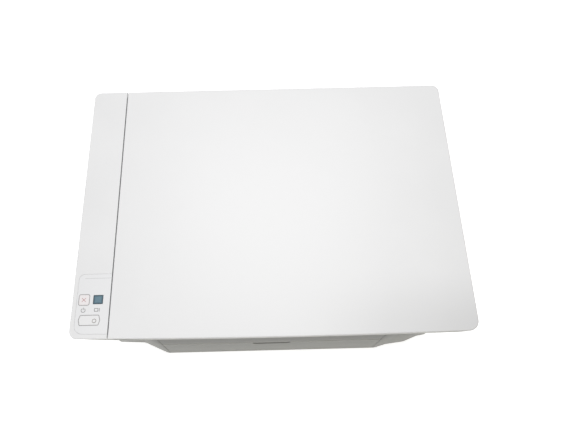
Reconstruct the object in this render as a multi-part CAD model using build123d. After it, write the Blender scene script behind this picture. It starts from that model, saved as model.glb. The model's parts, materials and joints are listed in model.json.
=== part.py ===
from build123d import *
import math
import os

# A compact flatbed all-in-one inkjet printer, in millimetres.
# +X runs left to right, the front faces -Y, +Z is up, the origin is the centre of the footprint on the table.

# ---- overall size
WIDTH = 425.0
DEPTH = 312.0
HEIGHT = 149.0
FOOT_H = 3.0
FOOT_R = 8.0
FOOT_INSET = 26.0
WALL = 2.5
FIT = 0.3              # gap between pieces that move past each other
PIN_CLEAR = 0.06       # radial clearance of a pin in its hole

# ---- levels of the four stacked casings; the middle case takes the height that the others leave
BASE_H = 59.0          # base case
HOUSING_H = 33.0       # scanner housing
LID_T = 11.5
LID_GAP = 0.5          # between the housing's deck and the closed lid
BASE_Z = FOOT_H
FLOOR_Z = BASE_Z + WALL
MID_Z = BASE_Z + BASE_H
LID_Z = HEIGHT - LID_T
DECK_Z = LID_Z - LID_GAP
HOUSING_Z = DECK_Z - HOUSING_H

# ---- upper outline: housing, control strip and lid
SUPPORT_ZONE = 6.0     # room behind the housing for the rear paper support
HALF_W = WIDTH / 2
FRONT_Y = -DEPTH / 2
TOP_REAR_Y = DEPTH / 2 - SUPPORT_ZONE
FRONT_BOW = 3.0
FRONT_SKEW = 1.4       # the bow falls back this much less at the right end
FRONT_R = 11.5
STRIP_R = 9.0          # the strip's front left corner
REAR_R = 8.0
HOUSING_LEAN = 8.5     # how far the housing's foot is set in from the lid's edge
EDGE_LEAN = 2.5        # how far the deck is set in from the lid's edge
EDGE_ROUND = 1.2       # round upper edge of lid and strip
STRIP_W = 39.8
SEAM = 1.2
SEAM_X = -HALF_W + STRIP_W
LID_X0 = SEAM_X + SEAM

# ---- lower outline
SIDE_SETBACK = 12.5    # the lower body's sides stand this far inside the lid's
REAR_SETBACK = 4.0
FRONT_SETBACK = 9.5
WING_DEPTH = 16.0      # the wings stand this far behind the central face
WING_LEFT_W = 66.0     # wing and chamfer left of the central face
WING_RIGHT_W = 70.0
BODY_HALF_W = HALF_W - SIDE_SETBACK
BODY_REAR_Y = TOP_REAR_Y - REAR_SETBACK
FRONT_FACE_Y = FRONT_Y + FRONT_SETBACK
WING_Y = FRONT_FACE_Y + WING_DEPTH
FACE_X0 = -BODY_HALF_W + WING_LEFT_W
FACE_X1 = BODY_HALF_W - WING_RIGHT_W
CHAMFER_LEFT = 30.0
BODY_R = 6.0           # upright corners of the lower body
BEND_R = 12.0          # bends of its front

# ---- front opening, tray and door
OPEN_INSET = 3.0
OPEN_X0 = FACE_X0 + OPEN_INSET
OPEN_X1 = FACE_X1 - OPEN_INSET
LINTEL = 2.0
PANEL_T = 3.0
BARREL_R = 3.0
PANEL_PIN_R = 1.6
PANEL_GAP = 0.5
TRAY_BOTTOM = 1.0      # gap over the base floor
TRAY_TOP_GAP = 0.3
DOOR_GAP = 1.3
HINGE_Y = FRONT_FACE_Y + PANEL_T
TRAY_AXIS_Z = BASE_Z + WALL + TRAY_BOTTOM + BARREL_R
TRAY_TOP_Z = MID_Z - TRAY_TOP_GAP
DOOR_Z0 = TRAY_TOP_Z + DOOR_GAP
DOOR_Z1 = HOUSING_Z - LINTEL - PANEL_GAP
DOOR_HEEL = 2.0        # door below its axis
DOOR_AXIS_Z = DOOR_Z0 + DOOR_HEEL
DOOR_BARREL_L = 14.0
EXT_T = 2.0
EXT_SIDE = 4.0         # the tray's extension is this much narrower than the sheet on each side
EXT_TOP_GAP = 3.5
RAIL_W = 4.0
RAIL_LIP = 1.0
STOP_W = 48.0
STOP_H = 15.5
STOP_T = 1.8
STOP_PIN_R = 0.8
STOP_LUG = 3.0

# ---- paper path
PAPER_CX = (OPEN_X0 + OPEN_X1) / 2
PAPER_W = 216.0
PLATEN_SIDE = 7.0      # platen beyond the sheet's edge
FEED_TO_REAR = 94.0    # from the feed roller to the rear wall
FEED_Y = BODY_REAR_Y - FEED_TO_REAR
FEED_R = 6.0
OUTPUT_R = 6.0
SHAFT_R = 3.0
PINCH_R = 3.5
PINCH_L = 30.0
PINCH_COUNT = 4
STAR_R = 4.0
STAR_T = 1.0
STAR_COUNT = 6
NIP = 0.3
PICK_Y = FEED_Y + 56.0
PICK_R = 12.0
PICK_W = 44.0
RAMP_T = 3.0
RAMP_SIDE = 1.0        # ramp beyond the sheet's edge
RAMP_RISE = 9.6        # upper end of the ramp above the sheet's level

# ---- frame plates and carriage
PLATE_T = 1.5
GEAR_BAY = 33.5        # room for the gears between the left plate and the casing's side
PLATE_BAY = 12.5
PLATE_LEFT_X = -BODY_HALF_W + GEAR_BAY
PLATE_RIGHT_X = BODY_HALF_W - PLATE_BAY
PLATE_Y0 = FEED_Y - 124.0
PLATE_Y1 = FEED_Y + 72.0
PLATE_TOP_GAP = 5.0
ROD_R = 4.0
ROD_Y = FEED_Y - 14.0
ROD_RISE = 18.0        # rod above the carriage's underside
CAR_Y0 = FEED_Y - 72.0
CAR_Y1 = FEED_Y - 3.0
CAR_LIFT = 9.6         # carriage above the sheet
CAR_TOP_GAP = 12.0     # carriage below the scanner housing
CAR_SIDE_GAP = 2.0
STATION_GAP = 1.0      # between the platen and the service station
STATION_SIDE = 2.0     # the station is this much narrower than the carriage on each side
CAR_WALL = 2.4
HEAD_GAP = 1.6         # between head and paper
CART_PLAY = 0.7        # cartridge in its bay, each side
CART_TOP_GAP = 1.5     # cartridge below its latch
CART_D = 44.0
LATCH_T = 2.4
LATCH_L = 15.0
BELT_T = 1.2
BELT_W = 5.0
PULLEY_R = 6.0
BELT_Y = FEED_Y + 14.0
BELT_RISE = 26.0       # belt above the carriage's underside
MOTOR_R = 13.0
MOTOR_L = 24.0
ARM_W = 20.0           # arm between carriage and belt
ARM_GAP = 12.0         # arm's end from the drive pulley's axis

# ---- gear train, outside the left frame plate
MODULE = 1.0
FEED_TEETH = 40
IDLER_TEETH = 50
OUTPUT_TEETH = 40
PINION_TEETH = 14
GEAR_T = 5.0
GEAR_GAP = 1.5
TOOTH_PLAY = 0.24
GEAR_FLOOR_GAP = 3.0   # idler gear above the base's floor
ADDENDUM = 0.9

# ---- service station
STATION_H = 24.0
SLED_H = 8.0
SLED_TRAVEL = 18.0

# ---- scanner
GLASS_T = 1.8
GLASS_LAP = 4.0
SCAN_L = 297.0
SCAN_W = 216.0
GLASS_SIDE = 9.0       # the glass starts this far right of the lid's left edge
GLASS_SHIFT = 6.0      # the glass lies this far in front of the middle of the deck
PAD_GAP = 2.0
PAD_CLEAR = 0.5
BAR_W = 18.0
BAR_H = 12.0
BAR_GAP = 1.2
SCAN_ROD_R = 3.0
SCAN_MOTOR_SIDE = 48.0 # scan motor from the lid's right edge
SCAN_BELT_DY = 26.0
HINGE_DROP = 3.2       # hinge axis below the lid's top
HINGE_IN = 6.0         # hinge axis in from the lid's rear edge
HINGE_PIN_R = 1.6
HINGE_PIN_L = 7.0
HINGE_BAR = 3.5        # solid bar of the lid in front of the hinge axis
POST_R = 2.0
POST_W = 8.0

# ---- control strip
PANEL_LEN = 69.0
PANEL_EDGE = 5.0
INLAY_T = 1.8
BUTTON_GAP = 0.25
BUTTON_TRAVEL = 1.0
FLANGE = 1.0
FLANGE_T = 1.4
BOARD_T = 1.6

# ---- rear paper support
SUPPORT_SIDE = 7.0     # support beyond the sheet's edge
SUPPORT_T = 3.0
SUPPORT_AXIS_Z = 42.0
SUPPORT_DROP = 3.0     # support's top below the deck
SUP_EXT_T = 2.2
SUP_RAIL = 12.0
SUP_PIN_R = 2.0


def block(x0, x1, y0, y1, z0, z1):
    """A box between two corners."""
    return Pos((x0 + x1) / 2, (y0 + y1) / 2, (z0 + z1) / 2) * Box(x1 - x0, y1 - y0, z1 - z0)


def bar_x(r, x0, x1, y, z):
    """A round bar along X."""
    return Pos((x0 + x1) / 2, y, z) * Rot(0, 90, 0) * Cylinder(r, x1 - x0)


def bar_y(r, x, y0, y1, z):
    """A round bar along Y."""
    return Pos(x, (y0 + y1) / 2, z) * Rot(90, 0, 0) * Cylinder(r, y1 - y0)


def bar_z(r, x, y, z0, z1):
    """A round bar along Z."""
    return Pos(x, y, (z0 + z1) / 2) * Cylinder(r, z1 - z0)


def rounded(x0, x1, y0, y1, z0, z1, r):
    """A box with rounded upright edges."""
    plan = Pos((x0 + x1) / 2, (y0 + y1) / 2, z0) * RectangleRounded(x1 - x0, y1 - y0, r)
    return extrude(plan, z1 - z0)


def across(x, y, z):
    """A plane across X: what is drawn on it has its first axis along Y and its second along Z."""
    return Plane((x, y, z), x_dir=(0, 1, 0), z_dir=(1, 0, 0))


def group(*solids):
    """Separate solids kept in one node."""
    return Compound(children=[s for piece in solids for s in piece.solids()])


# ---------------------------------------------------------------- outlines

def upper_plan(z, inset):
    """The plan of housing, strip or lid at one level: a bowed front and rounded corners."""
    half = HALF_W - inset
    front, rear = FRONT_Y + FRONT_BOW + inset, TOP_REAR_Y
    right = front - FRONT_SKEW
    edge = [
        Line((half, right), (half, rear)),
        Line((half, rear), (-half, rear)),
        Line((-half, rear), (-half, front)),
        ThreePointArc((-half, front), (0, front - FRONT_BOW), (half, right)),
    ]
    face = make_face(Curve(edge))
    for corner, r in (((half, right), FRONT_R), ((-half, front), STRIP_R), ((half, rear), REAR_R),
                      ((-half, rear), REAR_R)):
        face = fillet(face.vertices().sort_by_distance((*corner, 0))[0], r)
    return Pos(0, 0, z) * face


def leaning(z0, z1, wall):
    """The body between two levels above the deck: front and sides lean in downwards, set in by a wall."""
    brim = HEIGHT - EDGE_ROUND
    low, high = [wall + EDGE_LEAN * (brim - z) / (brim - DECK_Z) for z in (z0, z1)]
    return loft([upper_plan(z0, low), upper_plan(z1, high)], ruled=True)


def lower_plan(z, inset):
    """The plan of base and middle case: a straight face, a chamfer, a stepped bend and two wings."""
    points = [
        (BODY_HALF_W, BODY_REAR_Y), (-BODY_HALF_W, BODY_REAR_Y), (-BODY_HALF_W, WING_Y),
        (FACE_X0 - CHAMFER_LEFT, WING_Y - 2.0), (FACE_X0, FRONT_FACE_Y), (FACE_X1, FRONT_FACE_Y),
        (FACE_X1 + 15, FRONT_FACE_Y + 4.2), (FACE_X1 + 38, FRONT_FACE_Y + 6.9),
        (FACE_X1 + 56, WING_Y - 2.2), (BODY_HALF_W, WING_Y),
    ]
    face = make_face(Polyline(*points, close=True))
    face = fillet([v for v in face.vertices() if abs(v.X) > BODY_HALF_W - 1], BODY_R)
    face = fillet([v for v in face.vertices() if abs(v.X) < BODY_HALF_W - 2 * BODY_R], BEND_R)
    if inset:
        face = offset(face, -inset)
    return Pos(0, 0, z) * face


# ---------------------------------------------------------------- casings

SUPPORT_X0 = PAPER_CX - PAPER_W / 2 - SUPPORT_SIDE
SUPPORT_X1 = PAPER_CX + PAPER_W / 2 + SUPPORT_SIDE
SUPPORT_TOP = DECK_Z - SUPPORT_DROP
WINDOW_X0 = SUPPORT_X0 + 6
WINDOW_X1 = SUPPORT_X1 - 6
WINDOW_Z0 = SUPPORT_AXIS_Z + 4
WINDOW_Z1 = HOUSING_Z - 6
SUPPORT_Y0 = DEPTH / 2 - SUPPORT_T
SUPPORT_AXIS_Y = DEPTH / 2 - SUPPORT_T / 2
SUP_EAR = 5.0
PLATEN_X0 = PAPER_CX - PAPER_W / 2 - PLATEN_SIDE
PLATEN_X1 = PAPER_CX + PAPER_W / 2 + PLATEN_SIDE
INLET_SIDE = 40.0      # mains socket's middle from the casing's side
USB_SIDE = 27.5        # data socket's middle from the right frame plate
INLET_X = -BODY_HALF_W + INLET_SIDE
INLET_Z = 24.0
INLET_W = 24.0
INLET_H = 17.0
USB_X = PLATE_RIGHT_X - USB_SIDE
USB_W = 15.0
USB_H = 14.0
MAIN_BOARD_Z = FLOOR_Z + 5.0
USB_Z = MAIN_BOARD_Z + BOARD_T + USB_H / 2
SCREW_R = 1.5
SCREW_HEAD_R = 3.0
SCREW_HEAD_H = 1.8
FOOT_FLANGE = 12.0
FLANGE_INSET = 10.0
PLATE_OVERLAP = 22.0   # power supply beside the frame plate
FRAME_SCREWS = [
    (x, y)
    for x in (PLATE_LEFT_X + PLATE_T + FOOT_FLANGE / 2, PLATE_RIGHT_X - PLATE_T - FOOT_FLANGE / 2)
    for y in (PLATE_Y0 + FLANGE_INSET, PLATE_Y1 - FLANGE_INSET)
]


def ears(x_left, x_right, length, y, z, height, axis_r):
    """Two hinge ears at the front opening's ends, each with a hole for a panel's pin."""
    solid = Part()
    for x0, x1 in ((x_left, x_left + length), (x_right - length, x_right)):
        solid += block(x0, x1, y - BARREL_R, y + BARREL_R, z - BARREL_R, z - BARREL_R + height)
    solid &= extrude(lower_plan(z - BARREL_R, 0), height)
    return solid - bar_x(axis_r + PIN_CLEAR, x_left - 1, x_right + 1, y, z)


def casing(z0, z1, floor):
    """A ring of wall on the lower plan, with a floor of the given thickness."""
    outer = extrude(lower_plan(z0, 0), z1 - z0)
    return outer - extrude(lower_plan(z0 + floor, WALL), z1 - z0 - floor)


def base_case():
    """The lower casing: floor, walls, tray ears, rear support ears and sockets."""
    solid = casing(BASE_Z, MID_Z, WALL)
    solid -= block(OPEN_X0, OPEN_X1, FRONT_FACE_Y - 1, FRONT_FACE_Y + 2 * WALL, FLOOR_Z, MID_Z)
    solid -= block(WINDOW_X0, WINDOW_X1, BODY_REAR_Y - 2 * WALL, BODY_REAR_Y + 1, WINDOW_Z0, MID_Z)
    solid += ears(FACE_X0, FACE_X1, OPEN_INSET - FIT, HINGE_Y, TRAY_AXIS_Z, 2 * BARREL_R, PANEL_PIN_R)
    solid -= bar_x(PANEL_PIN_R + PIN_CLEAR, FACE_X0 - 1, FACE_X1 + 1, HINGE_Y, TRAY_AXIS_Z)
    for x0, x1 in ((SUPPORT_X0 - SUP_EAR, SUPPORT_X0 - FIT), (SUPPORT_X1 + FIT, SUPPORT_X1 + SUP_EAR)):
        solid += block(x0, x1, BODY_REAR_Y - WALL, DEPTH / 2, SUPPORT_AXIS_Z - 5, SUPPORT_AXIS_Z + 5)
    solid -= bar_x(SUP_PIN_R - 0.5 + PIN_CLEAR, SUPPORT_X0 - SUP_EAR - 1, SUPPORT_X1 + SUP_EAR + 1,
                   SUPPORT_AXIS_Y, SUPPORT_AXIS_Z)
    for x, z, w, h in ((INLET_X, INLET_Z, INLET_W, INLET_H), (USB_X, USB_Z, USB_W, USB_H)):
        solid -= block(x - w / 2 - FIT / 2, x + w / 2 + FIT / 2, BODY_REAR_Y - 2 * WALL,
                       BODY_REAR_Y + 1, z - h / 2 - FIT / 2, z + h / 2 + FIT / 2)
    for x, y in FRAME_SCREWS:
        solid -= bar_z(SCREW_R + 0.1, x, y, BASE_Z + 0.6, FLOOR_Z + 1)
    return solid


def mid_case():
    """The middle casing: walls, the door's opening with its lintel and ears, the paper window."""
    solid = casing(MID_Z, HOUSING_Z, 0)
    solid -= block(OPEN_X0, OPEN_X1, FRONT_FACE_Y - 1, FRONT_FACE_Y + 2 * WALL, MID_Z - 1,
                   HOUSING_Z - LINTEL)
    solid -= block(WINDOW_X0, WINDOW_X1, BODY_REAR_Y - 2 * WALL, BODY_REAR_Y + 1, MID_Z - 1, WINDOW_Z1)
    solid += ears(FACE_X0, FACE_X1, OPEN_INSET - FIT, HINGE_Y, DOOR_AXIS_Z, 2 * BARREL_R, PANEL_PIN_R)
    solid -= bar_x(PANEL_PIN_R + PIN_CLEAR, FACE_X0 - 1, FACE_X1 + 1, HINGE_Y, DOOR_AXIS_Z)
    return solid


HINGE_Y_LID = TOP_REAR_Y - HINGE_IN
LID_AXIS_Z = HEIGHT - HINGE_DROP
GLASS_X0 = LID_X0 + GLASS_SIDE
GLASS_X1 = GLASS_X0 + SCAN_L + 2 * GLASS_LAP
SCAN_CX = (GLASS_X0 + GLASS_X1) / 2
SCAN_CY = (FRONT_Y + TOP_REAR_Y) / 2 - GLASS_SHIFT
GLASS_Y0 = SCAN_CY - SCAN_W / 2 - GLASS_LAP
GLASS_Y1 = SCAN_CY + SCAN_W / 2 + GLASS_LAP


def scanner_housing():
    """The scanner's box: sides that lean in downwards, a deck round the glass, two posts for the lid."""
    outer = loft([upper_plan(HOUSING_Z, HOUSING_LEAN), upper_plan(DECK_Z, EDGE_LEAN)], ruled=True)
    inner = extrude(upper_plan(HOUSING_Z + WALL, HOUSING_LEAN + WALL), HOUSING_H - 2 * WALL)
    solid = outer - (inner - block(-HALF_W, HALF_W, TOP_REAR_Y - WALL, TOP_REAR_Y + 1, HOUSING_Z, DECK_Z))
    solid -= block(GLASS_X0 + GLASS_LAP, GLASS_X1 - GLASS_LAP, GLASS_Y0 + GLASS_LAP,
                   GLASS_Y1 - GLASS_LAP, DECK_Z - WALL - 1, DECK_Z + 1)
    return solid + lid_hinge_posts() + scan_idler_pin()


def rubber_feet():
    """Four round feet under the base."""
    x, rear, front = BODY_HALF_W - FOOT_INSET, BODY_REAR_Y - FOOT_INSET, WING_Y + FOOT_INSET
    return group(*[bar_z(FOOT_R, sx * x, y, 0, FOOT_H) for sx in (-1, 1) for y in (rear, front)])


def frame_screws():
    """Pan-head screws that hold the frame plates' flanges to the base."""
    return group(*[
        bar_z(SCREW_R, x, y, BASE_Z + 1.0, FLOOR_Z + PLATE_T)
        + bar_z(SCREW_HEAD_R, x, y, FLOOR_Z + PLATE_T, FLOOR_Z + PLATE_T + SCREW_HEAD_H)
        for x, y in FRAME_SCREWS
    ])


# ---------------------------------------------------------------- lid and scanner

POST_INSET = 40.0
POST_X = [LID_X0 + POST_INSET, HALF_W - POST_INSET]
LINER_T = 2.0


def lid_cover():
    """The lid's shell, open below, with a solid hinge bar whose lower edge is round about the axis."""
    solid = leaning(LID_Z, HEIGHT, 0) & block(LID_X0, HALF_W + 1, FRONT_Y - 1, TOP_REAR_Y + 1, LID_Z, HEIGHT)
    rim = solid.edges().group_by(Axis.Z)[-1].filter_by(lambda e: e.center().X > LID_X0 + 1)
    solid = fillet(rim, EDGE_ROUND)
    corner = block(LID_X0 - 1, HALF_W + 1, HINGE_Y_LID, TOP_REAR_Y + 1, LID_Z - 1, LID_AXIS_Z)
    solid -= corner - bar_x(LID_AXIS_Z - LID_Z, LID_X0 - 2, HALF_W + 2, HINGE_Y_LID, LID_AXIS_Z)
    solid -= leaning(LID_Z, HEIGHT - WALL, WALL) & block(
        LID_X0 + WALL, HALF_W, FRONT_Y, HINGE_Y_LID - HINGE_BAR, LID_Z, HEIGHT)
    for x in POST_X:
        solid -= block(x - POST_W / 2 - FIT, x + POST_W / 2 + FIT, HINGE_Y_LID - POST_R - FIT, TOP_REAR_Y + 1,
                       LID_Z - 1, LID_AXIS_Z + POST_R + FIT)
        reach = POST_W / 2 + 2 * FIT + HINGE_PIN_L
        solid -= bar_x(HINGE_PIN_R + PIN_CLEAR, x - reach, x + reach, HINGE_Y_LID, LID_AXIS_Z)
    return solid


def lid_liner():
    """The plate that closes the lid below, up to the hinge bar."""
    gap = WALL + FIT / 2
    return extrude(upper_plan(LID_Z, EDGE_LEAN + gap), LINER_T) & block(
        LID_X0 + gap, HALF_W, FRONT_Y, HINGE_Y_LID - HINGE_BAR - FIT / 2, LID_Z, HEIGHT)


def lid_pad():
    """The document pad under the lid, held just off the glass."""
    return rounded(GLASS_X0 + GLASS_LAP + PAD_GAP, GLASS_X1 - GLASS_LAP - PAD_GAP,
                   GLASS_Y0 + GLASS_LAP + PAD_GAP, GLASS_Y1 - GLASS_LAP - PAD_GAP,
                   DECK_Z - WALL + PAD_CLEAR, LID_Z, 3)


def lid_hinge_posts():
    """Two posts at the deck's rear, each with a pin through its round head."""
    posts = Part()
    for x in POST_X:
        posts += block(x - POST_W / 2, x + POST_W / 2, HINGE_Y_LID - POST_R, HINGE_Y_LID + POST_R,
                       DECK_Z - WALL, LID_AXIS_Z)
        posts += bar_x(POST_R, x - POST_W / 2, x + POST_W / 2, HINGE_Y_LID, LID_AXIS_Z)
        reach = POST_W / 2 + FIT + HINGE_PIN_L
        posts += bar_x(HINGE_PIN_R, x - reach, x + reach, HINGE_Y_LID, LID_AXIS_Z)
    return posts


def platen_glass():
    """The flat glass, held against the deck's underside."""
    return block(GLASS_X0, GLASS_X1, GLASS_Y0, GLASS_Y1, DECK_Z - WALL - GLASS_T, DECK_Z - WALL)


BAR_Z1 = DECK_Z - WALL - GLASS_T - BAR_GAP
BAR_Z0 = BAR_Z1 - BAR_H
SCAN_FLOOR = HOUSING_Z + WALL
SCAN_ROD_Z = SCAN_FLOOR + SCAN_ROD_R + 1.0
SCAN_X = GLASS_X0 + GLASS_LAP + BAR_W / 2
SCAN_PULLEY_R = 4.0
SCAN_BELT_Y = SCAN_CY - SCAN_BELT_DY
SCAN_BELT_Z0 = SCAN_FLOOR + 1.5
SCAN_IDLER_X = GLASS_X0 + 2.0
SCAN_DRIVE_X = HALF_W - SCAN_MOTOR_SIDE
SADDLE_W = 10.0


def scan_bar():
    """The contact image sensor bar with its saddle, which runs on the rod and grips the belt."""
    x = SCAN_X
    solid = block(x - BAR_W / 2, x + BAR_W / 2, GLASS_Y0 + 2, GLASS_Y1 - 2, BAR_Z0, BAR_Z1)
    solid -= block(x - BAR_W / 4, x + BAR_W / 4, GLASS_Y0 + 8, GLASS_Y1 - 8, BAR_Z1 - 0.8, BAR_Z1 + 1)
    run_y = SCAN_BELT_Y + SCAN_PULLEY_R + BELT_T / 2
    solid += block(x - SADDLE_W / 2, x + SADDLE_W / 2, run_y - 3, SCAN_CY + 8, SCAN_FLOOR + 0.6, BAR_Z0)
    solid -= bar_x(SCAN_ROD_R + PIN_CLEAR, x - BAR_W, x + BAR_W, SCAN_CY, SCAN_ROD_Z)
    solid -= block(x - BAR_W, x + BAR_W, run_y - BELT_T / 2 - FIT, run_y + BELT_T / 2 + FIT,
                   SCAN_FLOOR, SCAN_BELT_Z0 + BELT_W + FIT)
    return solid


def belt_loop(x0, x1, y, z, r):
    """A flat belt round two upright pulleys of one radius."""
    def track(radius):
        return Pos((x0 + x1) / 2, y, z) * SlotCenterToCenter(x1 - x0, 2 * radius)
    return extrude(track(r + BELT_T), BELT_W) - extrude(track(r), BELT_W)


def pulley(x, y, z, r, shaft_r):
    """A belt pulley with two flanges and a bore, on an upright axis."""
    solid = bar_z(r - PIN_CLEAR, x, y, z, z + BELT_W)
    solid += bar_z(r + BELT_T, x, y, z - 0.9, z - 0.1) + bar_z(r - 1, x, y, z - 0.9, z + BELT_W + 0.9)
    solid += bar_z(r + BELT_T, x, y, z + BELT_W + 0.1, z + BELT_W + 0.9)
    return solid - bar_z(shaft_r + PIN_CLEAR, x, y, z - 2, z + BELT_W + 2)


def drive_belts():
    """The belt that pulls the scan bar and the belt that pulls the print carriage."""
    return group(belt_loop(SCAN_IDLER_X, SCAN_DRIVE_X, SCAN_BELT_Y, SCAN_BELT_Z0, SCAN_PULLEY_R),
                 belt_loop(TENSION_X, DRIVE_X, BELT_Y, BELT_Z, PULLEY_R))


def scan_drive_pulley():
    """The scan motor's pulley."""
    return pulley(SCAN_DRIVE_X, SCAN_BELT_Y, SCAN_BELT_Z0, SCAN_PULLEY_R, 1.2)


def scan_idler_pulley():
    """The pulley at the far end of the scan belt."""
    return pulley(SCAN_IDLER_X, SCAN_BELT_Y, SCAN_BELT_Z0, SCAN_PULLEY_R, 1.2)


def scan_idler_pin():
    """The upright pin of the scan belt's idler, moulded on the housing's floor."""
    return bar_z(1.2, SCAN_IDLER_X, SCAN_BELT_Y, SCAN_FLOOR, SCAN_BELT_Z0 + BELT_W + 1.2)


def scan_motor():
    """The scan motor above its pulley, on two legs, with its shaft pointing down."""
    z = SCAN_BELT_Z0 + BELT_W + 2.0
    solid = bar_z(11, SCAN_DRIVE_X, SCAN_BELT_Y, z, z + 14)
    solid += bar_z(1.2, SCAN_DRIVE_X, SCAN_BELT_Y, SCAN_FLOOR + 0.2, z)
    for side in (-1, 1):
        y = SCAN_BELT_Y + side * 14
        solid += block(SCAN_DRIVE_X - 4, SCAN_DRIVE_X + 4, min(y, SCAN_BELT_Y), max(y, SCAN_BELT_Y), z, z + 2)
        solid += bar_z(3, SCAN_DRIVE_X, y, SCAN_FLOOR, z + 2)
    return solid


def scan_rod():
    """The rod along which the scan bar travels, in two end blocks."""
    x0, x1 = GLASS_X0 + 1, GLASS_X1 + 6
    solid = bar_x(SCAN_ROD_R, x0, x1, SCAN_CY, SCAN_ROD_Z)
    for x in (x0, x1 - 3):
        solid += block(x, x + 3, SCAN_CY - 6, SCAN_CY + 6, SCAN_FLOOR, SCAN_ROD_Z + 4)
    return solid


# ---------------------------------------------------------------- control strip

PANEL_Y0 = FRONT_Y + FRONT_BOW
PANEL_Y1 = PANEL_Y0 + PANEL_LEN
STRIP_TOP_T = 2.4
SEAT_Z = HEIGHT - INLAY_T


def on_panel(x0, x1, y0, y1):
    """A rectangle given from the strip's front left corner."""
    return (x0 - HALF_W, x1 - HALF_W, y0 + PANEL_Y0, y1 + PANEL_Y0)


CANCEL = on_panel(7.4, 18.0, 35.4, 46.3)
START = on_panel(8.9, 30.8, 14.1, 24.1)
LCD = on_panel(22.3, 32.6, 36.1, 45.8)
LAMPS = [(12.6 - HALF_W, 29.7 + PANEL_Y0), (27.2 - HALF_W, 30.4 + PANEL_Y0)]
LAMP_R = 2.0
BUTTON_CAP = HEIGHT - SEAT_Z + FIT
SWITCH_H = 1.4
BOARD_Z = DECK_Z + 1.2


def inlay_plan(z, gap):
    """The control panel's outline: the strip's front end, inset on its outer sides."""
    cut = Pos(SEAM_X, PANEL_Y1 - gap, z) * Rectangle(WIDTH, DEPTH, align=(Align.MAX, Align.MAX))
    face = upper_plan(z, PANEL_EDGE + gap) & cut
    corner = face.vertices().sort_by(Axis.Y)[-2:].sort_by(Axis.X)[0]
    return fillet(corner, 6.0)


def control_strip():
    """The strip left of the lid: a shell on the deck, with a seat for the control panel."""
    solid = leaning(DECK_Z, HEIGHT, 0) & block(
        -HALF_W - 1, SEAM_X, FRONT_Y - 1, TOP_REAR_Y + 1, DECK_Z, HEIGHT)
    rim = solid.edges().group_by(Axis.Z)[-1].filter_by(lambda e: e.center().X < SEAM_X - 1)
    solid = fillet(rim, EDGE_ROUND)
    solid -= leaning(DECK_Z, HEIGHT - STRIP_TOP_T - INLAY_T, WALL + 1) & block(
        -HALF_W, SEAM_X - WALL, FRONT_Y, TOP_REAR_Y - WALL, DECK_Z, HEIGHT)
    solid -= extrude(inlay_plan(SEAT_Z, 0), INLAY_T + 1)
    edge = FLANGE + FIT
    return solid - block(CANCEL[0] - edge, START[1] + 4, START[2] - edge, CANCEL[3] + 3, DECK_Z, HEIGHT)


def cap_plan(edges, r, grow):
    """A button's plan, grown by the given gap."""
    x0, x1, y0, y1 = edges
    return Pos((x0 + x1) / 2, (y0 + y1) / 2, 0) * RectangleRounded(
        x1 - x0 + 2 * grow, y1 - y0 + 2 * grow, r + grow)


def start_plan(grow):
    """The start button's plan: a long bar whose ends are bluntly pointed."""
    x0, x1, y0, y1 = START
    mid, point = (y0 + y1) / 2, 1.4
    points = [(x0 + point, y0), (x1 - point, y0), (x1, mid), (x1 - point, y1), (x0 + point, y1), (x0, mid)]
    face = fillet(make_face(Polyline(*points, close=True)).vertices(), 0.8)
    return offset(face, grow) if grow else face


def lcd_plan(grow):
    """The display window's plan."""
    return cap_plan(LCD, 0.6, grow)


def control_panel():
    """The inlaid plate with holes for the buttons and the display window."""
    solid = extrude(inlay_plan(SEAT_Z, 0.1), INLAY_T)
    for plan in (cap_plan(CANCEL, 1.6, BUTTON_GAP), start_plan(BUTTON_GAP), lcd_plan(0.1)):
        solid -= extrude(Pos(0, 0, SEAT_Z - 1) * plan, INLAY_T + 2)
    return solid


def button(cap, flange, x, y):
    """A button: cap through the panel, flange below it, stem above its switch."""
    low = SEAT_Z - FIT - FLANGE_T
    solid = extrude(Pos(0, 0, SEAT_Z - FIT) * cap, BUTTON_CAP)
    solid += extrude(Pos(0, 0, low) * flange, FLANGE_T)
    return solid + bar_z(1.6, x, y, BOARD_Z + BOARD_T + SWITCH_H + BUTTON_TRAVEL + 0.1, low)


def cancel_button():
    """The square cancel button."""
    x, y = (CANCEL[0] + CANCEL[1]) / 2, (CANCEL[2] + CANCEL[3]) / 2
    return button(cap_plan(CANCEL, 1.6, 0), cap_plan(CANCEL, 1.6, FLANGE), x, y)


def start_button():
    """The wide start button."""
    x, y = (START[0] + START[1]) / 2, (START[2] + START[3]) / 2
    return button(start_plan(0), start_plan(FLANGE), x, y)


def lcd_window():
    """The display's clear window, flush with the panel."""
    return extrude(Pos(0, 0, SEAT_Z) * lcd_plan(0), INLAY_T)


def control_board():
    """The board under the panel: switches, display, two light rods and four standoffs."""
    x0, x1, y0, y1 = CANCEL[0] - 0.5, START[1] + 2.5, START[2] - 1, CANCEL[3] + 2
    solid = block(x0, x1, y0, y1, BOARD_Z, BOARD_Z + BOARD_T)
    for box in (CANCEL, START):
        x, y = (box[0] + box[1]) / 2, (box[2] + box[3]) / 2
        solid += block(x - 3, x + 3, y - 3, y + 3, BOARD_Z + BOARD_T, BOARD_Z + BOARD_T + SWITCH_H)
    for x in (x0 + 2.5, x1 - 2.5):
        for y in (y0 + 2.5, y1 - 2.5):
            solid += bar_z(2, x, y, DECK_Z, BOARD_Z)
    for x, y in LAMPS:
        solid += bar_z(LAMP_R, x, y, BOARD_Z + BOARD_T, SEAT_Z)
    x0, x1, y0, y1 = LCD
    return solid + block(x0 - 0.4, x1 + 1.2, y0 - 0.6, y1 + 0.6, BOARD_Z + BOARD_T, SEAT_Z)


# ---------------------------------------------------------------- front: tray and door

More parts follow.
